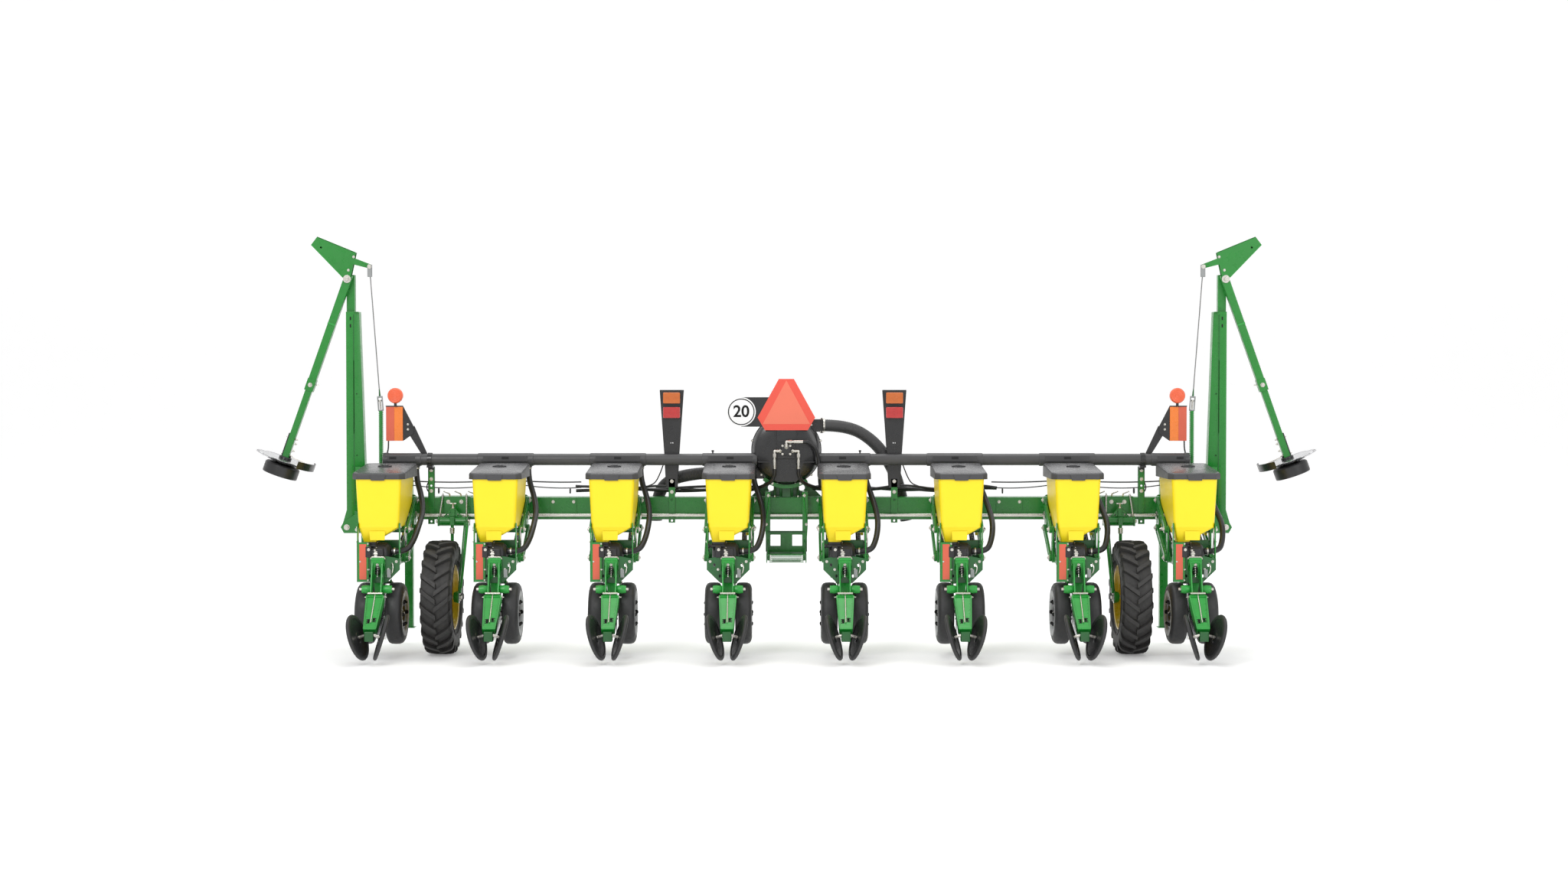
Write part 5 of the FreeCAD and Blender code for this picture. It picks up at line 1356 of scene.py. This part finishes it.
def drive_tyre():
    """Carcass with staggered chevron bars, about the wheel's centre."""
    f = Form()
    f.turn([(-75, 213), (-86, 228), (-97, 256), (-100, 290), (-97, 322), (-86, 344), (-60, 352),
            (0, 355), (60, 352), (86, 344), (97, 322), (100, 290), (97, 256), (86, 228), (75, 213),
            (61, 213), (61, 240), (-61, 240), (-61, 213)], "tyre", sides=96)
    for s in (-1, 1):
        f.turn([(s * 97, 243), (s * 101, 247), (s * 100, 252), (s * 96, 250)], "tyre", sides=96)
    bars = 22
    stations = ((-6, 0.0, 378.5, 346), (30, 0.070, 378.2, 345), (62, 0.135, 376, 342),
                (86, 0.190, 371, 334), (98, 0.222, 356, 318), (100, 0.240, 326, 300))
    for s in (-1, 1):
        for k in range(bars):
            start = math.tau * (k + (0.5 if s > 0 else 0.0)) / bars
            rings = []
            for x, lag, top, root in stations:
                wide, base = 15.5 / 365, 20.0 / 365
                angles = ((start - lag - base, root), (start - lag - wide, top),
                          (start - lag + wide, top), (start - lag + base, root))
                rings.append([(s * x, -r * math.sin(a), r * math.cos(a)) for a, r in angles])
            f.loft(rings, "tyre", 3)
    return f


def wheel_rim():
    """Dished yellow rim on a green hub, about the wheel's centre; +X is the outer side."""
    f = Form()
    f.turn([(-82, 218), (-86, 213), (-82, 205), (-60, 200), (-50, 190), (30, 188), (46, 198),
            (82, 205), (86, 213), (82, 218), (60, 211), (-60, 211)], "rim", sides=96)
    f.turn([(8, 192), (-2, 150), (-6, 120), (0, 55), (8, 55), (2, 120), (8, 150), (20, 188)],
           "rim", sides=96)
    f.turn([(-45, 16.1), (-45, 50), (-38, 55), (-8, 58), (-6, 78), (6, 78), (8, 58), (40, 55),
            (45, 50), (45, 16.1)], "green", sides=48, bevel=1)
    for k in range(8):
        a = math.tau * k / 8
        for s in (-1, 1):
            f.bolt((s * 6, 68 * math.cos(a), 68 * math.sin(a)), (s, 0, 0), 13, 6)
    f.rod((-48, 120, 168), (-84, 122, 172), 5, "zinc", 1)
    return f


def wheel_arm():
    """Arm of the right drive wheel: pivot tube, forked bar, stay and axle."""
    f, inner = Form(), WHEEL_PIVOT_X - 88.0
    z0, y0 = WHEEL_PIVOT_Z, PIVOT_Y
    f.turn([(inner, 15.1), (inner, 30), (inner + 176, 30), (inner + 176, 15.1)], "green",
           (0, y0, z0), sides=36, bevel=1.5)
    bar = Form()
    length = math.hypot(340, 483)
    web = [(0, 28), (-length, 24), (-length, -24), (0, -28)]
    bar.plate("x", web, inner + 3, inner + 9, "green",
              [rounded(-length * 0.62, -length * 0.36, -12, 12, 11, 4)])
    for s in (-1, 1):
        bar.plate("x", [(0, s * 28), (-length, s * 24), (-length, s * 19), (0, s * 23)], inner,
                  inner + 10, "green", (), 1)
    f.join(bar, Matrix.Translation((0, y0, z0))
           @ Matrix.Rotation(math.atan2(483, 340), 4, "X"))
    f.turn([(inner, 0), (inner, 42), (inner + 10, 42), (inner + 10, 0)], "green",
           (0, AXLE_Y, AXLE_Z), sides=40, bevel=2)
    f.rod((inner - 6, AXLE_Y, AXLE_Z), (WHEEL_X + 50, AXLE_Y, AXLE_Z), 16, "zinc", 2, 28)
    f.bolt((inner - 1, AXLE_Y, AXLE_Z), (-1, 0, 0), 26)
    f.turn([(inner + 10, 16), (inner + 10, 40), (inner + 34, 34), (inner + 40, 16)], "green",
           (0, AXLE_Y, AXLE_Z), sides=36, bevel=1.5)
    # The stay in the lighter green: painted light.
    f.rod((inner - 14, y0 - 40, z0 - 20), (inner - 10, AXLE_Y - 6, AXLE_Z + 46), 9, "lime", 2, 16)
    f.box(inner - 22, inner, y0 - 54, y0 - 24, z0 - 36, z0 - 4, "green", 3)
    f.box(inner - 18, inner, AXLE_Y - 22, AXLE_Y + 8, AXLE_Z + 28, AXLE_Z + 62, "green", 3)
    for k in range(4):
        a = math.pi / 4 + math.pi / 2 * k
        f.bolt((inner, AXLE_Y + 31 * math.cos(a), AXLE_Z + 31 * math.sin(a)), (-1, 0, 0), 10)
    return f


def sides():
    """Drive wheel and marker pieces of both sides; the left ones are mirrored."""
    tyre, rim, arm = drive_tyre(), wheel_rim(), wheel_arm()
    for side, s, flip in (("right", 1, Matrix()), ("left", -1, MIRROR)):
        at = (s * WHEEL_X, AXLE_Y, AXLE_Z)
        body = side + "_drive_wheel"
        piece(side + "_tyre", Form().join(tyre, flip), body, body, slot="tyre_rubber", at=at)
        piece(side + "_wheel_rim", Form().join(rim, flip), body, body, slot="yellow_poly", at=at)
        piece(side + "_wheel_link", Form().join(arm, flip), side + "_wheel_arm",
              side + "_wheel_arm", slot="green_paint")
        for form, tag, slot in ((marker_mast(), "marker_arm", "green_paint"),
                                (marker_boom(), "marker_boom", "green_paint"),
                                (marker_disc(), "marker_disc", "disc_steel")):
            node_name = side + "_" + tag
            piece(side + "_" + tag + "_detail", Form().join(form, flip), node_name, node_name,
                  slot=slot)


# ---- markers, drawn on the right

FOLD_X, FOLD_Z, BOOM_Y = MARKER_X - 13.0, MARKER_BASE_Z + 1692.0, BAR_Y - 56.5
TILT = math.radians(19.5)
CABLE_Y, CRANK_X, CRANK_Z = BOOM_Y - 42.5, FOLD_X - 157.0, FOLD_Z + 83.0


def mast_upright(f):
    """Tapered upright with its slots, foot, neck and fold pin."""
    z0, outer, top = MARKER_BASE_Z, MARKER_X + 2, FOLD_Z - 221
    rings = []
    for z, inner in ((z0 + 60, outer - 132), (top, outer - 85)):
        rings.append([(outer, -355, z), (outer - 50, -355, z), (inner, -322, z), (inner, -245, z),
                      (outer, -245, z)])
    f.loft(rings, "green", 2)
    # Two strips of the darker green along the facet's edge: painted shade in the crease.
    for z1, z2 in ((z0 + 150, top - 330), (z0 + 640, top - 20)):
        f.loft([quad(outer - 54, outer - 50, -357, -352, z) for z in (z1, z2)], "dark_green", 0.5)
    # Dark slots and holes: painted shade.
    for k in (34, 84):
        f.box(outer - 36, outer - 26, -355.6, -350, top - k - 24, top - k, "hole", 1)
    for z in (top - 560, top - 980):
        f.rod((outer - 70, -349, z), (outer - 70, -343, z), 4, "hole", 0.5, 12)
    foot = [(MARKER_X - 34, z0 - 30), (MARKER_X + 28, z0 - 30), (MARKER_X + 34, z0 + 10),
            (outer, z0 + 120), (outer - 128, z0 + 96), (MARKER_X - 60, z0 + 30)]
    f.plate("y", foot, -354, -246, "green", [ring(MARKER_X, z0, 14.1, 1, 28)], 3)
    for y in (-356.5, -246):
        f.turn([(0, 14.2), (0, 34), (2.5, 34), (2.5, 14.2)], "green", (MARKER_X, y, z0), AHEAD,
               32, 0.8)
    f.plate("z", rounded(outer - 56, outer, -328, -272, 5, 3), top - 6, FOLD_Z + 30, "green",
            [rounded(outer - 51, outer - 5, -323, -277, 3, 3)], 1)
    f.box(outer - 85, outer, -355, -245, top - 5, top, "green", 1)
    f.rod((FOLD_X, BOOM_Y - 38, FOLD_Z), (FOLD_X, -264, FOLD_Z), 12, "zinc", 2)
    f.rod((FOLD_X, -270, FOLD_Z), (FOLD_X, -266, FOLD_Z), 24, "zinc", 1, 28)
    f.rod((FOLD_X, BOOM_Y - 37, FOLD_Z), (FOLD_X, BOOM_Y - 33, FOLD_Z), 27, "zinc", 1.2, 32)
    f.bolt((FOLD_X, BOOM_Y - 37, FOLD_Z), BACK, 24)


def mast_cable(f):
    """Anchor, spring, turnbuckle, three-strand cable and the clevis at the crank."""
    z0, outer = MARKER_BASE_Z, MARKER_X + 2
    anchor, sx, spring_top = z0 + 396, outer - 244, z0 + 798
    f.box(outer - 290, outer - 60, -363, -355, anchor - 15, anchor + 15, "green", 2)
    f.box(sx - 16, sx + 16, CABLE_Y - 10, -363, anchor - 12, anchor - 2, "green", 2)
    f.bolt((sx, CABLE_Y, anchor - 12), (0, 0, -1), 14, 8)
    # The spring in the lighter green: painted light.
    f.coil((sx, CABLE_Y, anchor - 4), (sx, CABLE_Y, spring_top), 13.5, 3.0, 46, "lime", 8)
    # The rod inside the spring in the darker green: painted shade.
    f.rod((sx, CABLE_Y, anchor), (sx, CABLE_Y, spring_top + 4), 4, "dark_green", 0.8, 12)
    start, end = Vector((sx, CABLE_Y, spring_top - 2)), Vector((CRANK_X, CABLE_Y, CRANK_Z - 14))
    aim, length = (end - start).normalized(), (end - start).length
    place = turned_to(start, aim)
    fork = Form()
    for s in (-1, 1):
        fork.box(s * 15 - 3, s * 15 + 3, -12, 12, 0, 96, "grey", 2)
    fork.box(-18, 18, -12, 12, 0, 8, "grey", 2).box(-18, 18, -12, 12, 88, 100, "grey", 3)
    fork.rod((0, 0, 10), (0, 0, 70), 6, "zinc", 1, 12).bolt((0, 0, 62), UP, 20)
    f.join(fork, place)
    # The turnbuckle in the darker green: painted shade.
    f.rod(start + aim * 98, start + aim * 146, 7, "dark_green", 1, 12, 4)
    for k in range(3):          # the cable's three strands
        line = []
        for i in range(141):
            t = 140 + (length - 170) * i / 140
            a = math.tau * (i / 7 + k / 3)
            line.append(place @ Vector((1.8 * math.cos(a), 1.8 * math.sin(a), t)))
        f.sweep(line, 2.2, "cable", 6)
    for y in (CABLE_Y - 12, CABLE_Y + 8):
        f.box(CRANK_X - 15, CRANK_X + 15, y, y + 4, CRANK_Z - 66, CRANK_Z + 14, "grey", 2)
    f.box(CRANK_X - 15, CRANK_X + 15, CABLE_Y - 12, CABLE_Y + 12, CRANK_Z - 70, CRANK_Z - 62, "grey",
          2)
    f.rod((CRANK_X, CABLE_Y - 18, CRANK_Z), (CRANK_X, CABLE_Y + 20, CRANK_Z), 7, "zinc", 1)
    f.rod((CRANK_X, CABLE_Y - 17, CRANK_Z), (CRANK_X, CABLE_Y - 12, CRANK_Z), 15, "zinc", 1.2, 24)


def marker_mast():
    """The right marker's inner arm with its cable and spring."""
    f = Form()
    mast_upright(f)
    mast_cable(f)
    return f


def along_boom(form):
    """Sets a form drawn down the local -Z axis along the folded boom."""
    return Form().join(form, Matrix.Translation((FOLD_X, BOOM_Y, FOLD_Z))
                       @ Matrix.Rotation(-TILT, 4, "Y"))


def tube_outline(size, r):
    """A square tube's outline, about its middle."""
    return rounded(-size / 2, size / 2, -size / 2, size / 2, r, 3)


def marker_boom():
    """Upper tube, telescoped lower tube, flanged gusset, crank and the disc's bracket."""
    t = Form()
    t.plate("z", tube_outline(53, 5), -800, 30, "green", [tube_outline(45, 3)], 1)
    t.plate("z", tube_outline(60, 5), -806, -722, "green", [tube_outline(52.4, 3)], 1)
    t.plate("z", tube_outline(44.4, 4), -1285, -650, "green", [tube_outline(36, 3)], 1)
    # A strip of the lighter green across the tube: painted light.
    t.box(-26.5, 26.5, -31, -26, -330, -318, "lime", 1)
    t.bolt((0, -30, -764), BACK, 20)
    t.rod((-52, 0, -748), (-22, 0, -758), 4, "zinc", 1)
    for z in (-1150, -1268):
        t.rod((-38, 0, z), (38, 0, z), 5, "zinc", 1)
        t.bolt((24, 0, z), OUT, 12, 8)
        t.bolt((-24, 0, z), (-1, 0, 0), 12, 8)
    t.box(22, 30, -20, 20, -1292, -1120, "black", 2)
    t.sweep(smooth_line([(-26, 0, -1270), (-28, 0, -1292), (-16, 0, -1306), (0, 0, -1310)]), 7, "black",
            10)
    t.box(-34, 20, -20, 20, -1318, -1300, "black", 4)
    for z in (-1180, -1230):
        t.bolt((-30, 0, z), (-1, 0, 0), 13, 5)
    f = along_boom(t)
    y0 = BOOM_Y - 32.5
    gusset = [(FOLD_X - 24, FOLD_Z + 12), (FOLD_X - 60, FOLD_Z + 181), (FOLD_X + 201, FOLD_Z + 288),
              (FOLD_X + 241, FOLD_Z + 235), (FOLD_X + 26, FOLD_Z + 12)]
    f.plate("y", gusset, y0, y0 + 6, "green", [ring(FOLD_X + 176, FOLD_Z + 214, 7)], 1.2)
    rim = [((FOLD_X - 60, FOLD_Z + 181), (FOLD_X + 201, FOLD_Z + 288)),
           ((FOLD_X + 26, FOLD_Z + 12), (FOLD_X + 241, FOLD_Z + 235))]
    # The gusset's edge flanges in the lighter green: painted light.
    for (xa, za), (xb, zb) in rim:
        n = Vector((-(zb - za), 0, xb - xa)).normalized() * 5
        f.loft([[(x, y0, z), (x, y0 + 52, z), (x - n.x, y0 + 52, z - n.z), (x - n.x, y0, z - n.z)]
                for x, z in ((xa, za), (xb, zb))], "lime", 1)
    f.plate("y", gusset, y0 + 46, y0 + 52, "green", (), 1.2)
    crank = [(FOLD_X - 40, FOLD_Z + 100), (FOLD_X - 52, FOLD_Z + 142), (CRANK_X - 6, CRANK_Z + 16),
             (CRANK_X - 14, CRANK_Z + 8), (CRANK_X - 14, CRANK_Z - 8), (CRANK_X - 4, CRANK_Z - 14)]
    f.plate("y", crank, y0, y0 + 6, "green", [ring(CRANK_X, CRANK_Z, 6)], 1.2)
    for dx, dz in ((46, 150), (10, 60)):
        f.bolt((FOLD_X - dx, y0, FOLD_Z + dz), BACK, 12)
    f.turn([(0, 12.2), (0, 24), (4, 24), (4, 12.2)], "green", (FOLD_X, y0 - 3, FOLD_Z), AHEAD,
           28, 1)
    return f


def marker_disc():
    """Notched polished disc with its black depth band, hub and curved scraper."""
    t, z0 = Form(), -1313.0
    notched, notches, land, rim, deep = [], 10, 0.56, 203, 26
    for k in range(notches):
        a0 = math.tau * k / notches
        for i in range(5):
            a = a0 + math.tau / notches * land * i / 4
            notched.append((rim * math.cos(a), rim * math.sin(a)))
        for i in range(1, 6):
            a = a0 + math.tau / notches * (land + (1 - land) * i / 6)
            r = rim - deep * math.sin(math.pi * i / 6)
            notched.append((r * math.cos(a), r * math.sin(a)))

    def disc_ring(scale, z):
        return [(x * scale, y * scale, z) for x, y in notched]

    t.loft([disc_ring(0.2, z0 - 12), disc_ring(0.5, z0 - 8), disc_ring(0.8, z0 + 3),
            disc_ring(0.98, z0 + 14), disc_ring(1, z0 + 12)], "steel", 0)
    t.loft([disc_ring(1, z0 + 11), disc_ring(0.98, z0 + 9), disc_ring(0.8, z0 - 2),
            disc_ring(0.5, z0 - 13), disc_ring(0.2, z0 - 17)], "steel", 0)
    t.turn([(0, 11.2), (0, 40), (-6, 44), (-34, 40), (-38, 11.2)], "black", (0, 0, z0 + 30),
           UP, 36, 1.5)
    for k in range(6):
        a = math.tau * k / 6
        t.bolt((60 * math.cos(a), 60 * math.sin(a), z0 - 2), UP, 12)
    t.turn([(-16, 40), (-26, 108), (-34, 118), (-40, 120), (-100, 120), (-104, 117), (-104, 112),
            (-44, 112), (-34, 40)], "plastic", (0, 0, z0), UP, 72, 1)
    arc = [math.radians(a) for a in range(150, 236, 6)]
    blade = [[(r * math.cos(a), r * math.sin(a), z0 + h) for r, h in ((207, -8), (209, -8), (209, 44),
                                                                     (207, 44))] for a in arc]
    t.loft(blade, "black", 0.5)
    t.loft([[(-40, -8, z0 + 36), (-40, 8, z0 + 36), (-40, 8, z0 + 42), (-40, -8, z0 + 42)],
            [(-206, -8, z0 + 22), (-206, 8, z0 + 22), (-206, 8, z0 + 28), (-206, -8, z0 + 28)]],
           "zinc", 1)
    return along_boom(t)


def drive_shaft():
    """The galvanised hexagon bar behind the toolbar."""
    f = Form().rod((-BAR_HALF + 10, SHAFT_Y, SHAFT_Z), (BAR_HALF - 10, SHAFT_Y, SHAFT_Z), 10.9,
                   "zinc", 1.5, 6)
    piece("drive_shaft_bar", f, "drive_shaft", "drive_shaft", slot="zinc")


toolbar()
head = row_head()
for row, x in enumerate(ROW_X, 1):
    piece("row%d_head" % row, head, "root", "row_heads", slot="green_paint", at=(x, 0, 0))
hitch()
parking_stands()
boarding_step()
vacuum_pipe()
pipe_posts()
fan()
harness()
lamps_and_signs()
sides()
drive_shaft()
